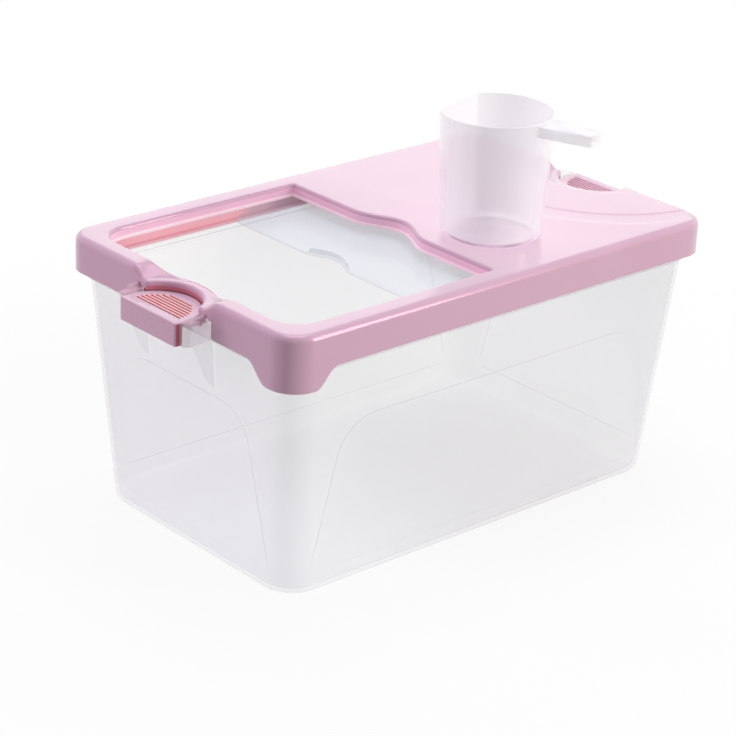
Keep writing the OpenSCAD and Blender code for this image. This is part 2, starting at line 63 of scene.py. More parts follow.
def feed(tree: bpy.types.NodeTree, node: bpy.types.Node, values: dict[str | int, Feed]) -> None:
    """Sets the inputs of a node, or links sockets to them.

    Args:
        tree: The tree of the node.
        node: The node.
        values: For each input, its value or the socket that feeds it.
    """
    for name, value in values.items():
        if isinstance(value, bpy.types.NodeSocket):
            tree.links.new(value, node.inputs[name])
        else:
            node.inputs[name].default_value = value


def wire(
    tree: bpy.types.NodeTree, kind: str, values: dict[str | int, Feed] | None = None, **settings: str
) -> bpy.types.Node:
    """Adds a node with its settings and its inputs.

    Args:
        tree: The tree that gets the node.
        kind: Type of the node.
        values: For each input, its value or the socket that feeds it.
        settings: Properties of the node.

    Returns:
        The new node.
    """
    node = tree.nodes.new(kind)
    for name, value in settings.items():
        setattr(node, name, value)
    feed(tree, node, values or {})
    return node


def calc(tree: bpy.types.NodeTree, operation: str, *values: Feed) -> bpy.types.NodeSocket:
    """Adds a math node and returns its result."""
    return wire(tree, "ShaderNodeMath", dict(enumerate(values)), operation=operation).outputs["Value"]


def remap(
    tree: bpy.types.NodeTree, value: Feed, limits: dict[str | int, Feed], step: str = "LINEAR"
) -> bpy.types.NodeSocket:
    """Adds a node that maps a value to another range and returns its result."""
    inputs = {"Value": value, **limits}
    return wire(tree, "ShaderNodeMapRange", inputs, interpolation_type=step).outputs["Result"]


def mix_shaders(
    tree: bpy.types.NodeTree, share: Feed, one: bpy.types.NodeSocket, other: bpy.types.NodeSocket
) -> bpy.types.NodeSocket:
    """Adds a node that mixes two shaders and returns its result."""
    return wire(tree, "ShaderNodeMixShader", {"Fac": share, 1: one, 2: other}).outputs["Shader"]


# ---------------------------------------------------------------- colours and finishes


def linear(red: int, green: int, blue: int) -> tuple[float, float, float, float]:
    """Converts a display colour to scene-linear values.

    Args:
        red: Red from 0 to 255.
        green: Green from 0 to 255.
        blue: Blue from 0 to 255.

    Returns:
        The colour as linear red, green, blue and an alpha of 1.
    """
    values = []
    for level in (red, green, blue):
        share = level / 255
        values.append(share / 12.92 if share <= 0.04045 else ((share + 0.055) / 1.055) ** 2.4)
    return (values[0], values[1], values[2], 1.0)


class Clarity(Enum):
    """How much a moulded plastic lets through."""

    OPAQUE = "opaque"
    MILKY = "milky"


@dataclass(frozen=True)
class MouldedPlastic:
    """One injection-moulded finish.

    Attributes:
        name: Name of the material.
        base: Main display colour.
        deep: Display colour of the slightly darker cloudy patches.
        roughness: Mean roughness of the surface.
        clarity: Whether light passes through.
        veil: Share of the surface that hides what is behind it, for milky plastic.
        rim_veil: The same share where the wall is seen edge on, for milky plastic.
        shade: Share of the veil that stops the light of the lamps, for milky plastic.
        painted_glow: Painted glow, an emission that stands in for light spreading inside the wall and
            leaving it again, as a share of the base colour.
        gloss_tint: Colour of the mirrored light where the surface is seen face on.
        bloom: Strength of the pale haze the surface shows at a low angle.
        polish: Strength of the thin mirror layer that carries the sharp white highlights.
        grain: Strength of the fine surface unevenness.
    """

    name: str
    base: tuple[int, int, int]
    deep: tuple[int, int, int]
    roughness: float
    clarity: Clarity = Clarity.OPAQUE
    veil: float = 1.0
    rim_veil: float = 1.0
    shade: float = 0.5
    painted_glow: float = 0.0
    gloss_tint: tuple[float, float, float] = (1.0, 1.0, 1.0)
    bloom: float = 0.0
    polish: float = 0.0
    grain: float = 0.02


LID_TINT = (1.0, 0.3, 0.55)
LID_PINK = MouldedPlastic(
    "lid_pink", (216, 176, 201), (212, 170, 196), 0.2, gloss_tint=LID_TINT, bloom=1.0, polish=0.35)
# Painted light: a lighter pink with painted glow for the recess walls and keeper rings, standing in for
# light bounced from the pale panel and tub.
RECESS_PAINTED_LIGHT = MouldedPlastic(
    "recess_painted_light", (255, 208, 234), (252, 202, 228), 0.26, painted_glow=0.06, gloss_tint=LID_TINT)
# Painted highlight: the lip is a paler pink with painted glow, drawing the light line along its edge.
LIP_PAINTED_HIGHLIGHT = MouldedPlastic("lip_painted_highlight", (255, 226, 238), (252, 220, 233), 0.24, painted_glow=0.12)
# Painted light: the rails lie in shade under the deck, so they get a lighter pink with painted glow.
RAIL_PAINTED_LIGHT = MouldedPlastic("rail_painted_light", (250, 194, 206), (246, 188, 200), 0.32, painted_glow=0.1)
# Painted shade: deep red for the lower notch walls and for the thin linings in the slots, where there is
# only shade.
PAINTED_SHADE_PINK = MouldedPlastic("painted_shade_pink", (214, 128, 146), (206, 118, 138), 0.34)
LATCH_PINK = MouldedPlastic(
    "latch_pink", (222, 183, 206), (217, 176, 200), 0.28, gloss_tint=LID_TINT, bloom=1.0, polish=0.3)
# Rear-latch copies of the rib and groove pinks: the same moulding, paler for painted sheen at the low angle,
# the grooves still with painted shade.
REAR_RIB_PAINTED_SHEEN = MouldedPlastic("rear_rib_painted_sheen", (232, 190, 208), (228, 184, 203), 0.3)
REAR_GROOVE_SHADE_AND_SHEEN = MouldedPlastic("rear_groove_shade_and_sheen", (216, 152, 174), (210, 145, 168), 0.36)
# Painted highlight: the rib tops are a lighter pink with painted glow.
RIB_PAINTED_HIGHLIGHT = MouldedPlastic("rib_painted_highlight", (255, 202, 206), (252, 196, 200), 0.3, painted_glow=0.04)
# Painted shade: deep red in the rib grooves, standing in for the shade in the crevices.
GROOVE_PAINTED_SHADE = MouldedPlastic("groove_painted_shade", (190, 84, 102), (182, 76, 94), 0.4)
# Painted shade: a darker red that stands in for the shade on the side returns of the front plate.
RETURN_PAINTED_SHADE = MouldedPlastic("return_painted_shade", (206, 118, 132), (196, 108, 122), 0.34)
TUB_MILK = MouldedPlastic(
    "tub_milk", (247, 248, 254), (243, 244, 251), 0.3, Clarity.MILKY, veil=0.17, rim_veil=0.3, shade=0.6)
# Painted light: the front lug is tinted pink for light thrown onto it by the pink latch.
LUG_PAINTED_BOUNCE = MouldedPlastic(
    "lug_painted_bounce", (248, 222, 234), (244, 217, 230), 0.26, Clarity.MILKY, veil=0.27, rim_veil=0.42, shade=0.5)
# Painted shade and painted pink light: the lug ledge tops are darker and pink for shade and light thrown
# from the lid.
LEDGE_SHADE_AND_BOUNCE = MouldedPlastic(
    "ledge_shade_and_bounce", (226, 184, 204), (220, 177, 198), 0.3, Clarity.MILKY, veil=0.6, rim_veil=0.7, shade=0.5)
GUSSET_MILK = MouldedPlastic(
    "gusset_milk", (248, 249, 254), (244, 245, 251), 0.3, Clarity.MILKY, veil=0.07, rim_veil=0.14, shade=0.3)
# The panel carries painted glow that lifts the shade under the fascia.
PANEL_MILK = MouldedPlastic(
    "panel_milk", (206, 212, 224), (200, 206, 219), 0.2, Clarity.MILKY,
    veil=0.22, rim_veil=0.34, shade=0.3, painted_glow=0.12)
# The cup carries painted glow that stands in for light scattered through its milky walls.
CUP_MILK = MouldedPlastic(
    "cup_milk", (238, 235, 241), (234, 231, 238), 0.13, Clarity.MILKY,
    veil=0.33, rim_veil=0.58, shade=0.2, painted_glow=0.1, polish=0.6)
CLOUD_NOISE = (9.0, 2.0, 0.5)
SPECK_NOISE = (420.0, 3.0, 0.6)
RIPPLE_NOISE = (38.0, 1.0, 0.4)
CLOUD_LIMITS = {"From Min": 0.42, "From Max": 0.62}
SPECK_ON_ROUGHNESS = 0.08
RIPPLE_ON_HEIGHT = 2.0
RIM_START = 0.45


def moulded_surface_group() -> bpy.types.NodeTree:
    """Builds the shared group that varies a moulded surface.

    Returns:
        The node group, with the surface colour, roughness and height as its outputs.
    """
    tree = bpy.data.node_groups.new("moulded_surface", "ShaderNodeTree")
    face = tree.interface
    for name, kind in (("Base", "Color"), ("Deep", "Color"), ("Roughness", "Float"), ("Grain", "Float")):
        face.new_socket(name, in_out="INPUT", socket_type="NodeSocket" + kind)
    for name, kind in (("Colour", "Color"), ("Roughness", "Float"), ("Height", "Float")):
        face.new_socket(name, in_out="OUTPUT", socket_type="NodeSocket" + kind)
    entry = wire(tree, "NodeGroupInput").outputs
    place = wire(tree, "ShaderNodeTexCoord").outputs["Object"]
    noises = []
    for scale, detail, rough in (CLOUD_NOISE, SPECK_NOISE, RIPPLE_NOISE):
        values = {"Vector": place, "Scale": scale, "Detail": detail, "Roughness": rough}
        noises.append(wire(tree, "ShaderNodeTexNoise", values).outputs["Fac"])
    cloud, speck, ripple = noises
    tones = {"Factor": remap(tree, cloud, CLOUD_LIMITS), "A": entry["Base"], "B": entry["Deep"]}
    height = calc(tree, "MULTIPLY_ADD", ripple, RIPPLE_ON_HEIGHT, speck)
    outputs = {
        "Colour": wire(tree, "ShaderNodeMix", tones, data_type="RGBA").outputs["Result"],
        "Roughness": calc(tree, "MULTIPLY_ADD", speck, SPECK_ON_ROUGHNESS, entry["Roughness"]),
        "Height": calc(tree, "MULTIPLY", height, entry["Grain"]),
    }
    wire(tree, "NodeGroupOutput", outputs)
    return tree


class FinishShop:
    """Makes each finish once and hands it out."""

    def __init__(self) -> None:
        """Builds the shared node group."""
        self.group = moulded_surface_group()
        self.made: dict[str, bpy.types.Material] = {}

    def get(self, finish: MouldedPlastic) -> bpy.types.Material:
        """Gives the material of a finish.

        Args:
            finish: The finish wanted.

        Returns:
            Its material, built the first time it is asked for.
        """
        if finish.name not in self.made:
            self.made[finish.name] = self.build(finish)
        return self.made[finish.name]

    def build(self, finish: MouldedPlastic) -> bpy.types.Material:
        """Builds the material of one finish.

        Args:
            finish: The finish to build.

        Returns:
            The new material.
        """
        material = bpy.data.materials.new(finish.name)
        material.use_nodes = True
        tree = material.node_tree
        shader = tree.nodes["Principled BSDF"]
        surface = wire(tree, "ShaderNodeGroup")
        surface.node_tree = self.group
        marks = {
            "Base": linear(*finish.base),
            "Deep": linear(*finish.deep),
            "Roughness": finish.roughness - SPECK_ON_ROUGHNESS / 2,
            "Grain": finish.grain,
        }
        feed(tree, surface, marks)
        relief = {"Strength": 0.12, "Distance": 0.1 * MM, "Height": surface.outputs["Height"]}
        looks = {
            "Base Color": surface.outputs["Colour"],
            "Roughness": surface.outputs["Roughness"],
            "Normal": wire(tree, "ShaderNodeBump", relief).outputs["Normal"],
            "IOR": 1.49,
            "Specular Tint": (*finish.gloss_tint, 1.0),
            "Sheen Weight": finish.bloom,
            "Sheen Roughness": 0.4,
            "Coat Weight": finish.polish,
            "Coat Roughness": 0.08,
            # The emission is painted glow that stands in for light scattered through the plastic; no surface
            # here is a lamp.
            "Emission Color": surface.outputs["Colour"],
            "Emission Strength": finish.painted_glow,
        }
        feed(tree, shader, looks)
        if finish.clarity is Clarity.MILKY:
            self.veil_by_view(finish, tree, shader)
            material.surface_render_method = "BLENDED"
        return material

    def veil_by_view(self, finish: MouldedPlastic, tree: bpy.types.NodeTree, shader: bpy.types.Node) -> None:
        """Makes a milky wall denser where it is seen edge on, and lets light through as soft light.

        Args:
            finish: The finish.
            tree: The tree of its material.
            shader: The shader that gets the alpha.
        """
        facing = wire(tree, "ShaderNodeLayerWeight", {"Blend": 0.5}).outputs["Facing"]
        limits = {"From Min": RIM_START, "To Min": finish.veil, "To Max": finish.rim_veil}
        veil = remap(tree, facing, limits)
        shadow = wire(tree, "ShaderNodeLightPath").outputs["Is Shadow Ray"]
        passed = remap(tree, shadow, {"To Min": 1.0, "To Max": finish.shade})
        feed(tree, shader, {"Alpha": calc(tree, "MULTIPLY", veil, passed)})


# ---------------------------------------------------------------- mesh helpers, all in millimetres


def ease(share: np.ndarray) -> np.ndarray:
    """Smooth step from 0 to 1."""
    part = np.clip(share, 0, 1)
    return part * part * (3 - 2 * part)


def swell(across: np.ndarray, half_width: float) -> np.ndarray:
    """One smooth bulge of height 1 between -half_width and half_width."""
    inside = np.abs(across) < half_width
    return np.where(inside, np.cos(np.pi / 2 * across / half_width) ** 2, 0.0)


def arc(centre: Point, radius: float, start: float, stop: float, count: int) -> np.ndarray:
    """Gives points on an arc.

    Args:
        centre: Centre of the arc.
        radius: Its radius.
        start: First angle in degrees.
        stop: Last angle in degrees.
        count: Number of steps.

    Returns:
        The points, one more than the steps.
    """
    angle = np.radians(np.linspace(start, stop, count + 1))
    return np.column_stack((centre[0] + radius * np.cos(angle), centre[1] + radius * np.sin(angle)))


def line(start: Point, stop: Point, step: float) -> np.ndarray:
    """Gives evenly spaced points from start up to, but without, stop.

    Args:
        start: First point.
        stop: The point where the line would end.
        step: About how far apart the points are.

    Returns:
        The points.
    """
    begin, end = np.array(start, float), np.array(stop, float)
    count = max(1, round(float(np.linalg.norm(end - begin)) / step))
    return begin + (end - begin) * np.arange(count)[:, None] / count


def shifted(loop: np.ndarray, by: float) -> np.ndarray:
    """Moves a closed counter-clockwise loop inwards, keeping its corners mitred.

    Args:
        loop: Points of the loop.
        by: Distance, positive towards the inside.

    Returns:
        The moved points.
    """
    before, after = loop - np.roll(loop, 1, 0), np.roll(loop, -1, 0) - loop
    before /= np.linalg.norm(before, axis=1, keepdims=True)
    after /= np.linalg.norm(after, axis=1, keepdims=True)
    inward = np.column_stack((-before[:, 1] - after[:, 1], before[:, 0] + after[:, 0]))
    inward /= np.linalg.norm(inward, axis=1, keepdims=True)
    lean = np.clip((inward * np.column_stack((-after[:, 1], after[:, 0]))).sum(1), 0.6, 1)
    return loop + inward * (by / lean)[:, None]


def nearness(points: np.ndarray, loop: np.ndarray) -> np.ndarray:
    """Measures the distance of points from a closed loop.

    Args:
        points: Points to measure.
        loop: Points of the loop.

    Returns:
        One distance for each point.
    """
    start = loop
    run = np.roll(loop, -1, 0) - loop
    best = np.full(len(points), np.inf)
    for begin in range(0, len(points), 2000):
        part = points[begin:begin + 2000, None] - start[None]
        share = np.clip((part * run).sum(2) / (run * run).sum(1), 0, 1)
        gap = part - share[..., None] * run
        best[begin:begin + 2000] = np.sqrt((gap * gap).sum(2).min(1))
    return best


def within(points: np.ndarray, loop: np.ndarray) -> np.ndarray:
    """Tells which points lie inside a closed loop.

    Args:
        points: Points to test.
        loop: Points of the loop.

    Returns:
        One true or false for each point.
    """
    ahead = np.roll(loop, -1, 0)
    px, py = points[:, 0, None], points[:, 1, None]
    crosses = (loop[:, 1] > py) != (ahead[:, 1] > py)
    rise = np.where(ahead[:, 1] == loop[:, 1], 1e-9, ahead[:, 1] - loop[:, 1])
    reach = loop[:, 0] + (py - loop[:, 1]) * (ahead[:, 0] - loop[:, 0]) / rise
    return ((crosses & (px < reach)).sum(1) % 2).astype(bool)


def round_over(gap: np.ndarray, radius: np.ndarray) -> np.ndarray:
    """How far a rounded edge falls at a distance from its outline."""
    left = np.clip(radius - gap, 0, None)
    return radius - np.sqrt(np.clip(radius * radius - left * left, 0, None))


class SkinCoat(IntEnum):
    """Material slots of the lid skin."""

    LID = 0
    RECESS_LIGHT_PAINT = 1
    LIP_HIGHLIGHT = 2
    PAINTED_SHADE = 3


class RailCoat(IntEnum):
    """Material slots of the rails below the lid."""

    RAIL_LIGHT_PAINT = 0
    PAINTED_SHADE = 1
    RECESS_LIGHT_PAINT = 2
    LID = 3


class PlateCoat(IntEnum):
    """Material slots of a latch plate."""

    PLATE = 0
    GROOVE_SHADE = 1
    RIB_HIGHLIGHT = 2
    RETURN_SHADE = 3


class TubCoat(IntEnum):
    """Material slots of the tub."""

    TUB = 0
    LUG_BOUNCE = 1
    LEDGE_SHADE = 2
    GUSSET = 3


class MeshDraft:
    """Collects points and faces in millimetres and makes one object of them."""

    WALL_SHARES = (0.12, 0.35, 0.65, 0.9, 1.0)

    def __init__(self) -> None:
        """Starts an empty draft."""
        self.points: list[Sequence[float]] = []
        self.faces: list[tuple[int, ...]] = []
        self.slots: dict[int, int] = {}

    def add(self, points: Iterable[Sequence[float]]) -> list[int]:
        """Adds points.

        Args:
            points: The points.

        Returns:
            Their numbers.
        """
        first = len(self.points)
        self.points.extend(tuple(float(c) for c in point) for point in points)
        return list(range(first, len(self.points)))

    def slot_colour_or_painted_light(self, first: int, slot: int) -> None:
        """Gives the faces from a number on another material slot, for plain colour or for painted light and
        shade.
        """
        self.slots.update({number: slot for number in range(first, len(self.faces))})

    def band(self, lower: Sequence[int], upper: Sequence[int], closed: bool = True) -> None:
        """Fills the strip between two rows of points.

        Args:
            lower: Point numbers of one row.
            upper: Point numbers of the other row, as many.
            closed: Whether the strip closes on itself.
        """
        last = len(lower) if closed else len(lower) - 1
        for i in range(last):
            j = (i + 1) % len(lower)
            self.faces.append((lower[i], lower[j], upper[j], upper[i]))

    def cover(self, loops: list[np.ndarray], inner: np.ndarray, height: Height) -> list[list[int]]:
        """Covers the area inside the first loop and outside the others.

        Args:
            loops: Outer loop, then the holes, all counter-clockwise.
            inner: Further plan positions.
            height: Gives the height of plan positions.

        Returns:
            The point numbers of each loop.
        """
        edges, start = [], 0
        for loop in loops:
            edges += [(start + i, start + (i + 1) % len(loop)) for i in range(len(loop))]
            start += len(loop)
        flat = np.vstack(loops + [inner])
        spread = delaunay_2d_cdt([Vector(p) for p in flat], edges, [], 0, 1e-4, True)
        plan = np.array([tuple(p) for p in spread[0]])
        source = {old: new for new, olds in enumerate(spread[3]) for old in olds}
        triangles = np.array(spread[2])
        middle = plan[triangles].mean(1)
        keep = within(middle, loops[0])
        for hole in loops[1:]:
            keep &= ~within(middle, hole)
        triangles = triangles[keep]
        first = self.add(np.column_stack((plan, height(plan))))[0]
        base = plan[triangles[:, 0]]
        one, two = plan[triangles[:, 1]] - base, plan[triangles[:, 2]] - base
        upward = one[:, 0] * two[:, 1] - one[:, 1] * two[:, 0] > 0
        for triangle, up in zip(triangles, upward):
            self.faces.append(tuple(first + int(i) for i in (triangle if up else triangle[::-1])))
        numbers, start = [], 0
        for loop in loops:
            numbers.append([first + source[start + i] for i in range(len(loop))])
            start += len(loop)
        return numbers

    def hang(self, loop: np.ndarray, top: list[int], low: np.ndarray) -> None:
        """Hangs a wall below a loop of points.

        Args:
            loop: Plan positions of the loop.
            top: Point numbers of the loop.
            low: Height of the wall's lower edge at each point.
        """
        start = np.array([self.points[i][2] for i in top])
        above = top
        for share in self.WALL_SHARES:
            row = self.add(np.column_stack((loop, start + (low - start) * share)))
            self.band(row, above)
            above = row

    def prism(self, outline: Sequence[Sequence[float]], low: float, high: float, axis: str = "z") -> None:
        """Adds a closed straight prism.

        Args:
            outline: Counter-clockwise outline in the plane across the axis.
            low: Where it starts along the axis.
            high: Where it ends.
            axis: The axis, z or y.
        """
        if axis == "z":
            bottom = self.add((p[0], p[1], low) for p in outline)
            top = self.add((p[0], p[1], high) for p in outline)
        else:
            bottom = self.add((p[0], high, p[1]) for p in outline)
            top = self.add((p[0], low, p[1]) for p in outline)
        self.band(bottom, top)
        self.faces.append(tuple(reversed(bottom)))
        self.faces.append(tuple(top))

    def block(self, limits: Block, turn: int = 1) -> None:
        """Adds a box between x, y and z limits, turned half round where turn is -1."""
        x0, x1, y0, y1, z0, z1 = limits
        self.prism(np.array([(x0, y0), (x1, y0), (x1, y1), (x0, y1)]) * turn, z0, z1)

    def make(self, name: str) -> bpy.types.Object:
        """Makes the object, in metres.

        Args:
            name: Name of the object.

        Returns:
            The linked object.
        """
        mesh = bpy.data.meshes.new(name)
        mesh.from_pydata([tuple(c * MM for c in p) for p in self.points], [], self.faces)
        for number, slot in self.slots.items():
            mesh.polygons[number].material_index = slot
        mesh.validate()
        mesh.shade_smooth()
        piece = bpy.data.objects.new(name, mesh)
        bpy.context.collection.objects.link(piece)
        return piece


# ---------------------------------------------------------------- softening and paint


def thicken(skin: bpy.types.Object, wall: float) -> None:
    """Gives a skin its wall thickness on the inside.

    Args:
        skin: The open skin, its faces pointing out.
        wall: Wall thickness in millimetres.
    """
    thick = skin.modifiers.new("thickness", "SOLIDIFY")
    thick.thickness = wall * MM
    thick.offset = -1.0
    thick.use_even_offset = False


SMOOTH_ANGLE = 38.0
ROUND_ANGLE = 32.0
SKIN_ROUND_ANGLE = 55.0
WELD_GAP = 0.02 * MM


def smoothing_group() -> bpy.types.NodeTree:
    """Builds the modifier group that keeps only sharp edges sharp.

    Returns:
        The geometry node group, built once.
    """
    known = bpy.data.node_groups.get("smooth_by_angle")
    if known:
        return known
    tree = bpy.data.node_groups.new("smooth_by_angle", "GeometryNodeTree")
    for side in ("INPUT", "OUTPUT"):
        tree.interface.new_socket("Geometry", in_out=side, socket_type="NodeSocketGeometry")
    entry = wire(tree, "NodeGroupInput").outputs[0]
    angle = wire(tree, "GeometryNodeInputMeshEdgeAngle").outputs["Unsigned Angle"]
    limits = {"A": angle, "B": math.radians(SMOOTH_ANGLE)}
    gentle = wire(tree, "FunctionNodeCompare", limits, operation="LESS_THAN").outputs["Result"]
    faces = wire(tree, "GeometryNodeSetShadeSmooth", {"Geometry": entry}).outputs["Geometry"]
    edges = {"Geometry": faces, "Shade Smooth": gentle}
    creases = wire(tree, "GeometryNodeSetShadeSmooth", edges, domain="EDGE")
    wire(tree, "NodeGroupOutput", {0: creases.outputs["Geometry"]})
    return tree


def soften(piece: bpy.types.Object, width: float, angle: float = ROUND_ANGLE) -> None:
    """Joins split points, rounds the sharp edges and smooths the shading of a CAD piece.

    Args:
        piece: The object to soften.
        width: Width of the rounding.
        angle: Smallest angle that is rounded, in degrees.
    """
    weld = piece.modifiers.new("weld", "WELD")
    weld.merge_threshold = WELD_GAP
    if width > 0:
        bevel = piece.modifiers.new("round_edges", "BEVEL")
        bevel.width = width
        bevel.segments = 2
        bevel.limit_method = "ANGLE"
        bevel.angle_limit = math.radians(angle)
        bevel.use_clamp_overlap = True
    smooth = piece.modifiers.new("smooth_by_angle", "NODES")
    smooth.node_group = smoothing_group()


def paint(piece: bpy.types.Object, *materials: bpy.types.Material) -> None:
    """Gives a piece its materials.

    Args:
        piece: The object.
        materials: Its materials, in the order of its slots.
    """
    if piece.data.materials:
        piece.data.materials.clear()
    for material in materials:
        piece.data.materials.append(material)


# ---------------------------------------------------------------- tub and cup


@dataclass
class Tub:
    """The translucent tub as the CAD made it, with painted pink light and painted shade on the lugs. Lengths
    in millimetres.
    """

    node: str = "bin_body"
    edge: float = 0.5
    facing: float = 0.7
    gusset_x: Point = (33.0, 37.0)
    gusset_y: float = 180.0
    gusset_z: Point = (120.0, 171.0)
    ledge: Place = (29.0, -188.0, 182.5)
    lug: Place = (40.0, -189.0, 160.0)

    def coat(self, centre: Vector, normal: Vector) -> TubCoat:
        """Picks the coat of a face: painted pink light from the latch on the front lug, painted shade and
        pink light on the front lug's ledges, clearer at the gussets.

        Args:
            centre: Middle of the face.
            normal: Its normal.

        Returns:
            The material slot.
        """
        x, y, z = centre / MM
        beside = self.gusset_x[0] < abs(x) < self.gusset_x[1] and abs(y) > self.gusset_y
        if abs(normal.x) > self.facing and beside and self.gusset_z[0] < z < self.gusset_z[1]:
            return TubCoat.GUSSET
        # Painted shade and pink light on the tops of the lug ledges.
        if normal.z > self.facing and abs(x) > self.ledge[0] and y < self.ledge[1] and z > self.ledge[2]:
            return TubCoat.LEDGE_SHADE
        # Painted pink light from the latch on the front lug.
        if abs(x) < self.lug[0] and y < self.lug[1] and z > self.lug[2]:
            return TubCoat.LUG_BOUNCE
        return TubCoat.TUB

    def dress(self, shop: FinishShop) -> None:
        """Paints and softens the tub.

        Args:
            shop: Where the finishes come from.
        """
        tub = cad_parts[self.node]
        paint(tub, *(shop.get(finish) for finish in (TUB_MILK, LUG_PAINTED_BOUNCE, LEDGE_SHADE_AND_BOUNCE, GUSSET_MILK)))
        for face in tub.data.polygons:
            face.material_index = self.coat(tub.matrix_world @ face.center, face.normal)
        soften(tub, self.edge * MM)
        LOG.info("dressed %s", self.node)


@dataclass
class Cup:
    """The measuring cup as the CAD made it. Lengths in millimetres."""

    node: str = "measuring_cup"
    edge: float = 0.5

    def dress(self, shop: FinishShop) -> None:
        """Paints and softens the cup.

        Args:
            shop: Where the finishes come from.
        """
        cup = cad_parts[self.node]
        paint(cup, shop.get(CUP_MILK))
        soften(cup, self.edge * MM)
        LOG.info("dressed %s", self.node)


# ---------------------------------------------------------------- lid


@dataclass
class LidShell:
    """The pink lid, as a rounded skin with real wall thickness. All lengths in millimetres."""

    GAP_STEPS = (8.0, 2.5, 0.9, 0.4, 0.12, 0.0)
    EDGE_RINGS = (0.15, 0.5, 1.0, 1.6, 2.3, 3.2, 4.2, 5.2)
    RIM_RINGS = (0.12, 0.4, 0.85, 1.4, 2.0, 2.7)
    RING_SLACK = 0.03
    DIP_STEP = 1.8
    GROOVE_ROWS = (-1.2, -0.6, 0.0, 0.6, 1.2)
    GRID_STEP = 6.5

    half_w: float = 120.0
    half_l: float = 192.5
    deck: float = 196.0
    foot: float = 171.0
    corner_r: float = 20.0
    edge_r: float = 5.0
    strip_edge_r: float = 1.9
    wall: float = 2.1
    notch_y: float = 204.0
    notch_r: float = 29.5
    notch_fillet: float = 2.2
    dip: float = 7.0
    dip_in: float = 33.0
    dip_out: float = 53.0
    dip_pinch: float = 7.5
    pinch_from: float = 16.0
    pinch_run: float = 14.0
    set_back: float = 0.08
    gap_half: float = 41.0
    notch_foot: float = 182.5
    notch_shade_top: float = 185.2
    face_foot: float = 183.6
    lug_wall_in: float = 33.2
    lug_wall_out: float = 36.8
    lug_clear: float = 186.1
    tab_drop: float = 13.6
    tab_inner: float = 24.0
    tab_outer: float = 42.5
    tab_side: float = 39.0
    window_half_w: float = 102.4
    window_front: float = -176.5
    front_bulge: float = 9.0
    front_bulge_w: float = 46.0
    window_r: float = 20.0
    fascia: float = -5.0
    fascia_bulge: float = 13.0
    fascia_bulge_w: float = 38.0
    window_edge_r: float = 2.4
    lip: float = 0.8
    lip_top: float = 188.8
    recess_foot: float = 187.05
    groove_in: float = 99.0
    groove_out: float = 116.0
    groove_d: float = 0.3
    rail_in: float = 107.2
    rail_t: float = 1.6
    rail_ledge_in: float = 103.0
    rail_foot: float = 177.8
    rail_ledge: float = 179.5
    rail_half_l: float = 168.0
    keeper_foot: float = 176.0
    keeper_top: float = 179.2
    keeper_t: float = 2.6
    cheek: Block = (-41.3, -36.4, -192.4, -189.2, 171.3, 187.5)
    shade_lining: tuple[tuple[float, ...], ...] = ((32.0, 32.46, 178.0, 179.1), (32.38, 32.46, 178.6, 187.0))
    outline: np.ndarray = field(default_factory=lambda: np.zeros((0, 2)))
    window: np.ndarray = field(default_factory=lambda: np.zeros((0, 2)))

    def edge_outline(self) -> np.ndarray:
        """Draws the outer edge with both notches, counter-clockwise.

        Returns:
            The points of the loop.
        """
        face = -self.half_l
        side, r = self.half_w, self.corner_r
        back = face + self.set_back
        fillet = self.notch_fillet
        rise = back + fillet + self.notch_y
        run = math.sqrt((self.notch_r + fillet) ** 2 - rise ** 2)
        lean = math.degrees(math.atan2(rise, run))
        gap = self.gap_half
        steps = [(gap + past, face) for past in self.GAP_STEPS]
        steps += [(gap - 0.05, face + 0.02), (gap - 0.2, face + 0.1), (gap - 0.6, back - 0.05)]
        left = [
            line((-side, 0), (-side, face + r), 3.0),
            arc((-side + r, face + r), r, 180, 270, 16)[:-1],
            line((-side + r, face), (-gap - 10, face), 3.0),
            np.array([(-x, y) for x, y in steps]),
            line((-gap + 1.4, back), (-self.lug_wall_out - 0.4, back), 1.0),
            line((-self.lug_wall_out - 0.4, back), (-self.lug_wall_out, back), 1.0),
            line((-self.lug_wall_out, back), (-self.lug_wall_in, back), 1.2),
            line((-self.lug_wall_in, back), (-self.lug_wall_in + 0.4, back), 1.0),
            line((-self.lug_wall_in + 0.4, back), (-run, back), 1.0),
            arc((-run, back + fillet), fillet, 270, 360 - lean, 6)[:-1],
            arc((0, -self.notch_y), self.notch_r, 180 - lean, 90, 22)[:-1],
        ]
        half = np.vstack(left)
        top = np.array([[0, -self.notch_y + self.notch_r]])
        mirrored = half[::-1] * (-1, 1)
        front = np.vstack((half, top, mirrored[:-1]))
        return np.vstack((front, -front))

    def window_outline(self) -> np.ndarray:
        """Draws the window edge, counter-clockwise.

        Returns:
            The points of the loop.
        """
        w, r, front = self.window_half_w, self.window_r, self.window_front
        x = np.linspace(-w + r, w - r, 61)[1:-1]
        near = np.column_stack((x, front + self.front_bulge * swell(x, self.front_bulge_w)))
        x = np.linspace(w, -w, 81)
        far = np.column_stack((x, self.fascia + self.fascia_bulge * swell(x, self.fascia_bulge_w)))
        parts = [
            arc((-w + r, front + r), r, 180, 270, 14),
            near,
            arc((w - r, front + r), r, 270, 360, 14),
            line((w, front + r), (w, self.fascia), 4.0)[1:],
            far,
            line((-w, self.fascia), (-w, front + r), 4.0)[1:],
        ]
        return np.vstack(parts)

    def notch_gap(self, points: np.ndarray) -> np.ndarray:
        """Distance of points from the centre of the nearer notch."""
        return np.hypot(points[:, 0], self.notch_y - np.abs(points[:, 1]))

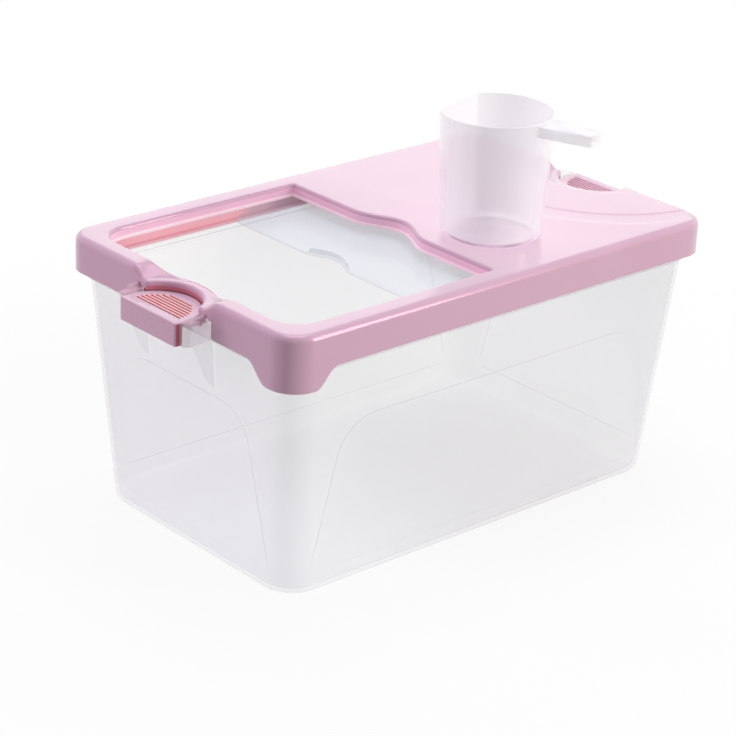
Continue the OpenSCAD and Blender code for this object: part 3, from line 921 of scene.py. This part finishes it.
    def surface(self, points: np.ndarray) -> np.ndarray:
        """Height of the deck before its edges are rounded.

        Args:
            points: Plan positions.

        Returns:
            One height for each point.
        """
        radius = self.notch_gap(points)
        reach = np.abs(points[:, 1]) - self.half_l + self.pinch_from
        outer = self.dip_out - self.dip_pinch * ease(reach / self.pinch_run)
        dipped = self.dip * (1 - ease((radius - self.dip_in) / (outer - self.dip_in)))
        rear = np.hypot(points[:, 0], points[:, 1] - self.notch_y)
        groove = ease((rear - self.groove_in + 1) / 2) - ease((rear - self.groove_out + 1) / 2)
        return self.deck - dipped - self.groove_d * groove

    def height(self, points: np.ndarray) -> np.ndarray:
        """Height of the outer skin.

        Args:
            points: Plan positions.

        Returns:
            One height for each point.
        """
        reach = (self.notch_gap(points) - self.notch_r - 2) / (self.dip_out - self.notch_r)
        radius = self.strip_edge_r + (self.edge_r - self.strip_edge_r) * ease(reach)
        fall = round_over(nearness(points, self.outline), radius)
        inner = round_over(nearness(points, self.window), np.full(len(points), self.window_edge_r))
        return self.surface(points) - fall - inner

    def plan_points(self) -> np.ndarray:
        """Scatters the inner points of the top, dense where it bends.

        Returns:
            Plan positions off both outlines.
        """
        edge = [(shifted(self.outline, d), d) for d in self.EDGE_RINGS]
        rim = [(shifted(self.window, -d), d) for d in self.RIM_RINGS]
        kept = [p[nearness(p, self.outline) > d - self.RING_SLACK] for p, d in edge]
        kept += [p[nearness(p, self.window) > d - self.RING_SLACK] for p, d in rim]
        polar = []
        for sign in (-1, 1):
            for radius in np.arange(self.dip_in - 1.5, self.dip_out + 3, self.DIP_STEP):
                polar.append(arc((0, sign * self.notch_y), radius, 0, 360, 120)[:-1])
        for radius in (self.groove_in, self.groove_out):
            for d in self.GROOVE_ROWS:
                polar.append(arc((0, self.notch_y), radius + d, 180, 360, 150))
        step = self.GRID_STEP
        across, along = np.meshgrid(np.arange(-117, 118, step), np.arange(-190, 191, step))
        grid = np.column_stack((across.ravel(), along.ravel()))
        rear = np.abs(np.hypot(grid[:, 0], grid[:, 1] - self.notch_y))
        clear = (np.abs(rear - self.groove_in) > 3) & (np.abs(rear - self.groove_out) > 3)
        grid = grid[(self.notch_gap(grid) > self.dip_out + 4) & clear]
        loose = np.vstack(polar + [grid])
        loose = loose[(nearness(loose, self.outline) > 5.6) & (nearness(loose, self.window) > 3.1)]
        every = np.vstack(kept + [loose])
        return every[within(every, self.outline) & ~within(every, self.window)]

    def tab_foot(self, gap: np.ndarray) -> np.ndarray:
        """Lower edge of the grip tab at a distance from the corner."""
        share = (gap - self.tab_inner) / (self.tab_outer - self.tab_inner)
        return self.foot - self.tab_drop * (1 - ease(share))

    def notch_foot_height(self, points: np.ndarray) -> np.ndarray:
        """Lower edge between the two steps of the skirt at a notch, raised over the walls of the lug.

        Args:
            points: Points of the outline.

        Returns:
            One height for each point.
        """
        rise = self.lug_clear - self.face_foot
        edges = [self.lug_wall_in - 0.4, self.lug_wall_in, self.lug_wall_out, self.lug_wall_out + 0.4]
        return self.face_foot + np.interp(np.abs(points[:, 0]), edges, [0.0, rise, rise, 0.0])

    def foot_height(self, points: np.ndarray) -> np.ndarray:
        """Height of the lower edge below each point of the outline.

        Args:
            points: Points of the outline.

        Returns:
            One height for each point.
        """
        x, y = points[:, 0], points[:, 1]
        across, gap = np.abs(x), self.gap_half
        along = (y + self.half_l) * self.tab_outer / self.tab_side
        low = np.maximum(self.tab_foot(self.half_w - x), self.tab_foot(along))
        low = np.where((x > 0) & (y < 0), low, self.foot)
        under = self.notch_foot_height(points)
        at_end = np.abs(y) > self.half_l - self.set_back - 0.5
        corner = np.interp(across - gap, [0.1, 0.4, 0.9], [1.0, 0.35, 0.0])
        low = np.where(at_end & (across < gap + 1), low + corner, low)
        corner = np.interp(across - gap, [-1.5, -0.6, -0.2, -0.04], [0.0, 0.12, 0.5, 1.3])
        low = np.where(at_end & (across < gap - 0.02), under - corner, low)
        reach = self.notch_gap(points) - self.notch_r
        blend = ease((self.notch_fillet - reach) / (self.notch_fillet - 0.1))
        close = (across < gap) & (reach < self.notch_fillet)
        return np.where(close, under + (self.notch_foot - under) * blend, low)

    def build_skin(self) -> bpy.types.Object:
        """Makes the skin: top, skirt, notch walls and window recess.

        Returns:
            The skin, with its thickness as modifiers.
        """
        self.outline = self.edge_outline()
        self.window = self.window_outline()
        inner = self.plan_points()
        draft = MeshDraft()
        edge, rim = draft.cover([self.outline, self.window], inner, self.height)
        start = np.array([draft.points[i][2] for i in edge])
        first = len(draft.faces)
        draft.hang(self.outline, edge, np.minimum(self.foot_height(self.outline), start - 0.3))
        self.paint_notch_shade(draft, first)
        self.line_recess(draft, rim)
        skin = draft.make("lid_skin")
        thicken(skin, self.wall)
        return skin

    def paint_notch_shade(self, draft: MeshDraft, first: int) -> None:
        """Paints shade on the lower half of the notch walls as a deeper red.

        Args:
            draft: The draft that holds the walls.
            first: Number of the first wall face.
        """
        points = np.array(draft.points)
        for number in range(first, len(draft.faces)):
            x, y, z = points[list(draft.faces[number])].mean(0)
            if self.notch_gap(np.array([[x, y]]))[0] < self.notch_r + 0.3 and z < self.notch_shade_top:
                draft.slots[number] = SkinCoat.PAINTED_SHADE

    def line_recess(self, draft: MeshDraft, top: list[int]) -> None:
        """Adds the recess wall below the window edge, with the lip at its foot.

        Args:
            draft: The draft that holds the top.
            top: Point numbers of the window edge.
        """
        start = np.array([draft.points[i][2] for i in top])
        wall_foot = self.lip_top + 0.25
        middle = np.minimum(start + (wall_foot - start) * 0.5, start - 0.05)
        wall = [(0.0, middle), (0.0, np.minimum(wall_foot, start - 0.05))]
        lip = [(0.12, self.lip_top + 0.06), (self.lip - 0.2, self.lip_top)]
        lip += [(self.lip, self.lip_top - 0.2), (self.lip, self.recess_foot)]
        above = top
        # The recess wall faces get the painted-light pink, and the lip faces get the painted-highlight pink.
        for rows, coat in ((wall, SkinCoat.RECESS_LIGHT_PAINT), (lip, SkinCoat.LIP_HIGHLIGHT)):
            first = len(draft.faces)
            for inset, level in rows:
                place = shifted(self.window, inset)
                row = draft.add(np.column_stack((place, np.broadcast_to(level, len(top)))))
                draft.band(above, row)
                above = row
            draft.slot_colour_or_painted_light(first, coat)

    def keeper_ring(self, near: float, far: float, steps: int) -> np.ndarray:
        """Draws a part ring about the front notch, cut off at the face of the lid.

        Args:
            near: Its inner radius.
            far: Its outer radius.
            steps: Number of steps of each arc.

        Returns:
            The points of the loop.
        """
        back = self.notch_y - self.half_l + self.set_back
        start, end = (math.degrees(math.asin(back / radius)) for radius in (far, near))
        centre = (0, -self.notch_y)
        outer = arc(centre, far, start, 180 - start, steps)
        return np.vstack((outer, arc(centre, near, 180 - end, end, steps)))

    def build_rails(self) -> bpy.types.Object:
        """Makes the two rails below the deck and the keeper rings, linings and returns at the notches. The
        rails and keeper rings carry painted light; the linings are thin sheets of painted shade in the
        slots.

        Returns:
            The rails and the pieces at the notches as one object.
        """
        draft = MeshDraft()
        a, b, c = self.rail_ledge_in, self.rail_in, self.rail_in + self.rail_t
        low, ledge, top = self.rail_foot, self.rail_ledge, self.deck - 2.0
        profile = [(a, low), (c, low), (c, top), (b, top), (b, ledge), (a, ledge)]
        for sign in (1, -1):
            shape = [(sign * x, z) for x, z in profile]
            draft.prism(shape if sign > 0 else shape[::-1], -self.rail_half_l, self.rail_half_l, "y")
        for turn in (1, -1):
            first = len(draft.faces)
            ring = self.keeper_ring(self.notch_r, self.notch_r + self.keeper_t, 40)
            draft.prism(ring * turn, self.keeper_foot, self.keeper_top)
            # The keeper ring lies in shade, so it gets the painted-light pink.
            draft.slot_colour_or_painted_light(first, RailCoat.RECESS_LIGHT_PAINT)
            first = len(draft.faces)
            # The linings are thin sheets of painted shade standing in the slots behind the latch plates.
            for near, far, low, high in self.shade_lining:
                draft.prism(self.keeper_ring(near, far, 60) * turn, low, high)
            draft.slot_colour_or_painted_light(first, RailCoat.PAINTED_SHADE)
            first = len(draft.faces)
            draft.block(self.cheek, turn)
            draft.slot_colour_or_painted_light(first, RailCoat.LID)
        return draft.make("lid_rails")

    def build(self, shop: FinishShop) -> None:
        """Makes and dresses the lid.

        Args:
            shop: Where the finishes come from.
        """
        skin = self.build_skin()
        rails = self.build_rails()
        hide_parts("lid_frame")
        skin_finishes = (LID_PINK, RECESS_PAINTED_LIGHT, LIP_PAINTED_HIGHLIGHT, PAINTED_SHADE_PINK)
        rail_finishes = (RAIL_PAINTED_LIGHT, PAINTED_SHADE_PINK, RECESS_PAINTED_LIGHT, LID_PINK)
        for piece, finishes, width in ((skin, skin_finishes, 0.45), (rails, rail_finishes, 0.3)):
            soften(piece, width * MM, SKIN_ROUND_ANGLE)
            paint(piece, *(shop.get(finish) for finish in finishes))
            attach(piece, "lid")
        LOG.info("lid: %d points in the skin", len(skin.data.vertices))


# ---------------------------------------------------------------- window panel


@dataclass
class WindowPanel:
    """The translucent sliding panel with its finger bay, pull and flanges. All lengths in millimetres."""

    EDGE_RINGS = (0.06, 0.2, 0.38, 0.5)
    PULL_ROWS = (0.9, 1.3, 1.42, 1.55, 1.68, 1.8, 2.2)
    FLANGE_ROWS = (1.05, 1.15, 1.25, 1.35, 1.45, 2.2)

    half_w: float = 106.6
    front: float = -60.5
    back: float = 131.5
    low: float = 179.8
    top: float = 181.4
    corner_r: float = 14.0
    rear_corner_r: float = 2.0
    edge_r: float = 0.5
    bay: float = 8.0
    bay_half_w: float = 26.0
    pull: float = 3.9
    pull_t: float = 1.8
    pull_half_w: float = 21.8
    flange: float = 4.9
    flange_t: float = 1.4
    recess_half_w: float = 45.6
    recess_in: float = 12.0
    recess_w: float = 20.0
    recess_d: float = 0.45
    outline: np.ndarray = field(default_factory=lambda: np.zeros((0, 2)))

    def front_at(self, x: np.ndarray) -> np.ndarray:
        """Gives the front edge of the panel at a place across it."""
        return self.front + self.bay * swell(x, self.bay_half_w)

    def edge_outline(self) -> np.ndarray:
        """Draws the edge, counter-clockwise.

        Returns:
            The points of the loop.
        """
        w, r, q = self.half_w, self.corner_r, self.rear_corner_r
        x = np.linspace(-w + r, w - r, 141)[1:-1]
        parts = [
            arc((-w + r, self.front + r), r, 180, 270, 12),
            np.column_stack((x, self.front_at(x))),
            arc((w - r, self.front + r), r, 270, 360, 12),
            line((w, self.front + r), (w, self.back - q), 5.0)[1:],
            arc((w - q, self.back - q), q, 0, 90, 4),
            arc((-w + q, self.back - q), q, 90, 180, 4),
            line((-w, self.back - q), (-w, self.front + r), 5.0)[1:],
        ]
        return np.vstack(parts)

    def height(self, points: np.ndarray) -> np.ndarray:
        """Height of the top with its pull, flanges and shallow recess.

        Args:
            points: Plan positions.

        Returns:
            One height for each point.
        """
        across, along = np.abs(points[:, 0]), points[:, 1]
        past = along - self.front_at(points[:, 0])
        ends = 1 - ease((across - self.pull_half_w + 3.0) / 3.0)
        pull = self.pull * (1 - ease((past - self.pull_t + 0.5) / 0.5)) * ends
        side = 1 - ease((self.half_w - across - self.flange_t + 0.35) / 0.35)
        flange = self.flange * side * ease((along - self.front - self.corner_r) / 4.0)
        middle = self.front + self.recess_in + self.recess_w / 2
        inside = np.minimum(self.recess_half_w - across, self.recess_w / 2 - np.abs(along - middle))
        fall = round_over(nearness(points, self.outline), np.full(len(points), self.edge_r))
        return self.top + pull + flange - self.recess_d * ease(inside / 2.4 + 0.5) - fall

    def plan_points(self) -> np.ndarray:
        """Scatters the inner points, dense at the pull, the flanges and the recess.

        Returns:
            Plan positions off the outline.
        """
        rings = [shifted(self.outline, d) for d in self.EDGE_RINGS]
        kept = [ring[nearness(ring, self.outline) > 0.04] for ring in rings]
        x = np.linspace(-self.pull_half_w - 1, self.pull_half_w + 1, 60)
        kept += [np.column_stack((x, self.front_at(x) + d)) for d in self.PULL_ROWS]
        y = np.arange(self.front + self.corner_r, self.back - 1, 2.5)
        for inset in self.FLANGE_ROWS:
            x = np.full(len(y), self.half_w - inset)
            kept += [np.column_stack((side * x, y)) for side in (-1, 1)]
        x, y = np.meshgrid(np.arange(-48, 48.1, 1.6), np.arange(self.front + 9, self.front + 35, 0.8))
        kept.append(np.column_stack((x.ravel(), y.ravel())))
        x, y = np.meshgrid(np.arange(-100, 101, 8.0), np.arange(self.front + 4, self.back - 3, 8.0))
        kept.append(np.column_stack((x.ravel(), y.ravel())))
        every = np.vstack(kept)
        return every[within(every, self.outline)]

    def build(self, shop: FinishShop) -> None:
        """Makes and dresses the panel.

        Args:
            shop: Where the finishes come from.
        """
        self.outline = self.edge_outline()
        draft = MeshDraft()
        edge = draft.cover([self.outline], self.plan_points(), self.height)[0]
        draft.hang(self.outline, edge, np.full(len(edge), self.low))
        first = len(draft.faces)
        draft.cover([self.outline], np.zeros((0, 2)), lambda plan: np.full(len(plan), self.low))
        draft.faces[first:] = [face[::-1] for face in draft.faces[first:]]
        panel = draft.make("panel_sheet")
        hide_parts("window_panel")
        soften(panel, 0.0)
        paint(panel, shop.get(PANEL_MILK))
        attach(panel, "panel")
        LOG.info("panel: %d points", len(panel.data.vertices))


# ---------------------------------------------------------------- latches


@dataclass
class Latch:
    """One ribbed slide latch, as a rounded skin with a stem below. All lengths in millimetres.

    The shape is drawn at the front end; the rear one is turned half round.
    """

    EDGE_RINGS = (0.08, 0.3, 0.6, 0.95)
    GROOVE_RINGS = (0.3, 0.42, 0.56, 0.7, 0.82, 0.95, 1.15)
    RETURN_STEPS = (-0.6, -0.2, 0.0, 0.06, 0.25, 0.6)

    node: str
    body: str
    turned: bool = False
    # Painted highlight for the ribs and painted shade for the grooves; the rear latch takes paler copies
    # with painted sheen.
    rib_light_paint: MouldedPlastic = RIB_PAINTED_HIGHLIGHT
    groove_shade_paint: MouldedPlastic = GROOVE_PAINTED_SHADE
    notch_y: float = 204.0
    plate_r: float = 29.15
    half_w: float = 29.3
    front: float = -212.3
    corner_r: float = 1.1
    top: float = 182.4
    edge_r: float = 0.9
    foot: float = 166.5
    return_end: float = -206.5
    plate_t: float = 2.3
    wall: float = 2.1
    rib_field_r: float = 23.6
    rib_count: int = 7
    rib_pitch: float = 3.05
    rib_first: float = 0.75
    rib_margin: float = 1.3
    groove_half: float = 1.05
    groove_d: float = 1.3
    stem: Block = (-6.0, 6.0, -199.5, -194.0, 173.4, 180.6)
    foot_plate: Block = (-9.0, 9.0, -199.5, -194.0, 172.2, 174.4)
    outline: np.ndarray = field(default_factory=lambda: np.zeros((0, 2)))

    def edge_outline(self) -> np.ndarray:
        """Draws the D-shaped edge, counter-clockwise.

        Returns:
            The points of the loop.
        """
        w, r, front, end = self.half_w, self.corner_r, self.front, self.return_end
        steps = [(-w, end + d) for d in (1.6, 0.6, 0.25, 0.06, -0.03, -0.2, -0.6)]
        left = [
            arc((0, -self.notch_y), self.plate_r, 90, 180, 40)[:-1],
            np.array([(-w, -self.notch_y - 0.4)]),
            np.array(steps),
            line((-w, end - 1.2), (-w, front + r), 1.2),
            arc((-w + r, front + r), r, 180, 270, 6)[:-1],
            line((-w + r, front), (0, front), 1.5),
        ]
        half = np.vstack(left)
        return np.vstack((half, [(0, front)], half[::-1][:-1] * (-1, 1)))

    def grooves(self) -> list[tuple[float, float]]:
        """Lists the grooves between the ribs.

        Returns:
            Place along Y from the notch centre, and half length, of each middle line.
        """
        middles = [self.rib_first + number * self.rib_pitch for number in range(self.rib_count)]
        edge = self.groove_half
        return [(y, math.sqrt(self.rib_field_r ** 2 - (y + edge) ** 2) - edge) for y in middles]

    def groove_gap(self, points: np.ndarray) -> np.ndarray:
        """Distance of points from the nearest middle line of a groove.

        Args:
            points: Plan positions.

        Returns:
            One distance for each point.
        """
        across, along = np.abs(points[:, 0]), points[:, 1] + self.notch_y
        gaps = [np.hypot(along - middle, np.clip(across - end, 0, None)) for middle, end in self.grooves()]
        return np.min(gaps, axis=0)

    def height(self, points: np.ndarray) -> np.ndarray:
        """Height of the top of the plate with its grooves.

        Args:
            points: Plan positions.

        Returns:
            One height for each point.
        """
        radius = np.full(len(points), self.edge_r)
        level = self.top - round_over(nearness(points, self.outline), radius)
        inside = (self.groove_half - self.groove_gap(points)) / (0.6 * self.groove_half)
        return level - self.groove_d * ease(inside)

    def groove_points(self) -> np.ndarray:
        """Lays rings of points round each groove.

        Returns:
            Plan positions that follow the groove edges.
        """
        rings = [np.zeros((0, 2))]
        for middle, end in self.grooves():
            y = middle - self.notch_y
            rings.append(line((-end, y), (end, y), 1.2))
            for gap in self.GROOVE_RINGS:
                rings.append(arc((end, y), gap, -90, 90, 6))
                rings.append(line((end, y + gap), (-end, y + gap), 1.2)[1:])
                rings.append(arc((-end, y), gap, 90, 270, 6))
                rings.append(line((-end, y - gap), (end, y - gap), 1.2)[1:])
        return np.vstack(rings)

    def paint_rib_light_and_shade(self, draft: MeshDraft) -> None:
        """Gives grooves, ribs and front returns their own material slots: painted shade in the grooves and
        on the returns, painted highlight on the ribs.

        Args:
            draft: The draft of the plate.
        """
        points = np.array(draft.points)
        last = self.rib_first + (self.rib_count - 1) * self.rib_pitch + self.rib_margin
        for number, face in enumerate(draft.faces):
            x, y, z = points[list(face)].mean(0)
            past = y + self.notch_y
            ribbed = math.hypot(x, past) < self.rib_field_r and -self.rib_margin < past < last
            if ribbed and z > self.top - self.groove_d - 0.2:
                deep = float(self.groove_gap(np.array([[x, y]]))[0]) < 0.72 * self.groove_half
                draft.slots[number] = PlateCoat.GROOVE_SHADE if deep else PlateCoat.RIB_HIGHLIGHT
            elif abs(x) > self.half_w - 0.05 and z < self.top - self.edge_r and y < self.return_end:
                draft.slots[number] = PlateCoat.RETURN_SHADE

    def lower_edge(self, points: np.ndarray) -> np.ndarray:
        """Height of the lower edge: deep at the front plate and its returns, shallow round the plate.

        Args:
            points: Points of the outline.

        Returns:
            One height for each point.
        """
        past = points[:, 1] - self.return_end
        rise = self.top - self.plate_t - self.foot
        return self.foot + np.interp(past, self.RETURN_STEPS, [0, 0.3, 1.0, 12.2, 13.1, rise])

    def build(self, shop: FinishShop) -> None:
        """Makes and dresses the latch.

        Args:
            shop: Where the finishes come from.
        """
        self.outline = self.edge_outline()
        rows = [shifted(self.outline, d) for d in self.EDGE_RINGS]
        kept = [row[nearness(row, self.outline) > 0.05] for row in rows]
        inner = np.vstack(kept + [self.groove_points()])
        draft = MeshDraft()
        edge = draft.cover([self.outline], inner[within(inner, self.outline)], self.height)[0]
        draft.hang(self.outline, edge, self.lower_edge(self.outline))
        self.paint_rib_light_and_shade(draft)
        plate = draft.make(self.node + "_plate")
        thicken(plate, self.wall)
        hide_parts(self.node)
        hook = MeshDraft()
        for limits in (self.stem, self.foot_plate):
            hook.block(limits)
        stem = hook.make(self.node + "_stem")
        finishes = (LATCH_PINK, self.groove_shade_paint, self.rib_light_paint, RETURN_PAINTED_SHADE)
        for piece, width in ((plate, 0.0), (stem, 0.3)):
            if self.turned:
                piece.data.transform(Matrix.Rotation(math.pi, 4, "Z"))
            soften(piece, width * MM, SKIN_ROUND_ANGLE)
            paint(piece, *(shop.get(finish) for finish in finishes))
            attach(piece, self.body)
        LOG.info("%s: %d points in the plate", self.node, len(plate.data.vertices))


# ---------------------------------------------------------------- camera, light and floor


def seen_directly(tree: bpy.types.NodeTree) -> bpy.types.NodeSocket:
    """Tells rays of the camera, of glossy reflection and of clear plastic from the rest.

    Args:
        tree: The tree that gets the nodes.

    Returns:
        The socket that is 1 for those rays and 0 for others.
    """
    rays = wire(tree, "ShaderNodeLightPath").outputs
    direct = calc(tree, "MAXIMUM", rays["Is Camera Ray"], rays["Is Transmission Ray"])
    return calc(tree, "MAXIMUM", direct, rays["Is Glossy Ray"])


@dataclass(frozen=True)
class Softbox:
    """One soft lamp that looks at the bin.

    Attributes:
        name: Name of the lamp.
        place: Where it stands.
        size: Its width and height.
        power: Its power in watts.
        tint: Colour of its light.
        seen: Whether glossy surfaces mirror it.
    """

    name: str
    place: Place
    size: Point
    power: float
    tint: Place = (1.0, 1.0, 1.0)
    seen: bool = True

    def hang(self, target: Place) -> None:
        """Adds the lamp to the scene.

        Args:
            target: The place it looks at.
        """
        data = bpy.data.lights.new(self.name, "AREA")
        data.shape = "RECTANGLE"
        data.size, data.size_y = self.size
        data.energy = self.power
        data.color = self.tint
        lamp = bpy.data.objects.new(self.name, data)
        lamp.location = self.place
        lamp.visible_glossy = self.seen
        lamp.rotation_mode = "QUATERNION"
        lamp.rotation_quaternion = (Vector(target) - Vector(self.place)).to_track_quat("-Z", "Y")
        bpy.context.collection.objects.link(lamp)


LAMPS = (
    Softbox("key_top", (-0.3, 0.3, 2.4), (1.5, 1.5), 24.5, (0.88, 0.96, 1.0)),
    Softbox("side_right", (1.9, 1.2, 0.8), (0.5, 1.5), 32, (1.0, 0.97, 0.86)),
    Softbox("side_left", (-2.1, -1.6, 0.8), (0.5, 1.5), 29, (1.0, 0.8, 0.92), seen=False),
    Softbox("sheen_back", (-1.9, 1.6, 1.3), (1.4, 1.4), 5),
)
LAMP_TARGET = (0.0, 0.0, 0.12)


@dataclass
class Studio:
    """Camera, lamps and floor.

    Attributes:
        azimuth: Turn of the camera round the bin, in degrees.
        elevation: Height of the camera above the horizon, in degrees.
        roll: Turn of the picture about the view line, in degrees.
        distance: Distance from the aimed point to the camera.
        aim_right: Sideways place of the aimed point.
        aim_up: Height of the aimed point.
        lens_mm: Focal length on the 36 mm sensor.
        floor_half: Half the side of the floor.
        floor_gap: How far the floor lies below the base of the bin.
        floor_tone: Grey of the floor for the light it throws back, and where it is seen.
        fade_reach: Distances between which the floor fades to white.
        fade_level: Share of plain white in the floor close to the bin.
        room_level: Strength of the even light of the room.
    """

    azimuth: float = 47.60
    elevation: float = 23.49
    roll: float = 2.56
    distance: float = 1.8738
    aim_right: float = -0.01347
    aim_up: float = 0.07937
    lens_mm: float = 127.2
    floor_half: float = 6.0
    floor_gap: float = 0.2 * MM
    floor_tone: Point = (0.5, 0.94)
    fade_reach: Point = (0.2, 0.75)
    fade_level: float = 0.84
    room_level: float = 0.34

    def place_camera(self) -> bpy.types.Object:
        """Makes the camera at the photographed angle.

        Returns:
            The camera object.
        """
        turn, lift, roll = (math.radians(a) for a in (self.azimuth, self.elevation, self.roll))
        right = Vector((math.cos(turn), math.sin(turn), 0))
        back = Vector((math.sin(turn) * math.cos(lift), -math.cos(turn) * math.cos(lift), math.sin(lift)))
        up = back.cross(right)
        aim = right * self.aim_right + up * self.aim_up
        across = right * math.cos(roll) + up * math.sin(roll)
        above = up * math.cos(roll) - right * math.sin(roll)
        data = bpy.data.cameras.new("camera")
        data.lens = self.lens_mm
        data.sensor_width = 36.0
        data.clip_start, data.clip_end = 0.05, 50.0
        camera = bpy.data.objects.new("camera", data)
        axes = Matrix((across, above, back)).transposed().to_4x4()
        camera.matrix_world = Matrix.Translation(aim + back * self.distance) @ axes
        bpy.context.collection.objects.link(camera)
        bpy.context.scene.camera = camera
        return camera

    def light(self) -> None:
        """Adds the lamps and the even surround."""
        for lamp in LAMPS:
            lamp.hang(LAMP_TARGET)
        world = bpy.data.worlds.new("surround")
        world.use_nodes = True
        tree = world.node_tree
        tree.nodes.clear()
        room, shown = (
            wire(tree, "ShaderNodeBackground", {"Color": WHITE, "Strength": level}).outputs["Background"]
            for level in (self.room_level, 1.0)
        )
        mixed = mix_shaders(tree, seen_directly(tree), room, shown)
        wire(tree, "ShaderNodeOutputWorld", {"Surface": mixed})
        bpy.context.scene.world = world

    def lay_floor(self) -> None:
        """Lays the pale floor that holds the shadow and fades to white away from the bin."""
        mesh = bpy.data.meshes.new("floor")
        half = self.floor_half
        corners = [(-half, -half, 0), (half, -half, 0), (half, half, 0), (-half, half, 0)]
        mesh.from_pydata(corners, [], [(0, 1, 2, 3)])
        floor = bpy.data.objects.new("floor", mesh)
        floor.location.z = -self.floor_gap
        bpy.context.collection.objects.link(floor)
        material = bpy.data.materials.new("pale_floor")
        material.use_nodes = True
        tree = material.node_tree
        seen = seen_directly(tree)
        matt = tree.nodes["Principled BSDF"]
        tone = remap(tree, seen, {"To Min": self.floor_tone[0], "To Max": self.floor_tone[1]})
        feed(tree, matt, {"Base Color": tone, "Roughness": 0.9, "Specular IOR Level": 0.0})
        place = wire(tree, "ShaderNodeTexCoord").outputs["Object"]
        reach = wire(tree, "ShaderNodeVectorMath", {0: place}, operation="LENGTH").outputs["Value"]
        near, far = self.fade_reach
        limits = {"From Min": near, "From Max": far, "To Min": self.fade_level, "To Max": 1.0}
        shown = calc(tree, "MULTIPLY", remap(tree, reach, limits, "SMOOTHSTEP"), seen)
        white = wire(tree, "ShaderNodeEmission", {"Strength": 1.0}).outputs["Emission"]
        above = mix_shaders(tree, shown, matt.outputs["BSDF"], white)
        clear = wire(tree, "ShaderNodeBsdfTransparent").outputs["BSDF"]
        side = wire(tree, "ShaderNodeNewGeometry").outputs["Backfacing"]
        feed(tree, tree.nodes["Material Output"], {"Surface": mix_shaders(tree, side, above, clear)})
        mesh.materials.append(material)


def main() -> None:
    """Builds the scene in order and reports each piece."""
    logging.basicConfig(level=logging.INFO, format="%(name)s: %(message)s")
    bpy.context.scene.view_settings.view_transform = "Standard"
    studio = Studio()
    studio.place_camera()
    studio.light()
    studio.lay_floor()
    shop = FinishShop()
    Tub().dress(shop)
    Cup().dress(shop)
    LidShell().build(shop)
    WindowPanel().build(shop)
    Latch("front_latch", "latch_front").build(shop)
    Latch("rear_latch", "latch_rear", True, REAR_RIB_PAINTED_SHEEN, REAR_GROOVE_SHADE_AND_SHEEN).build(shop)


if __name__ == "__main__":
    main()
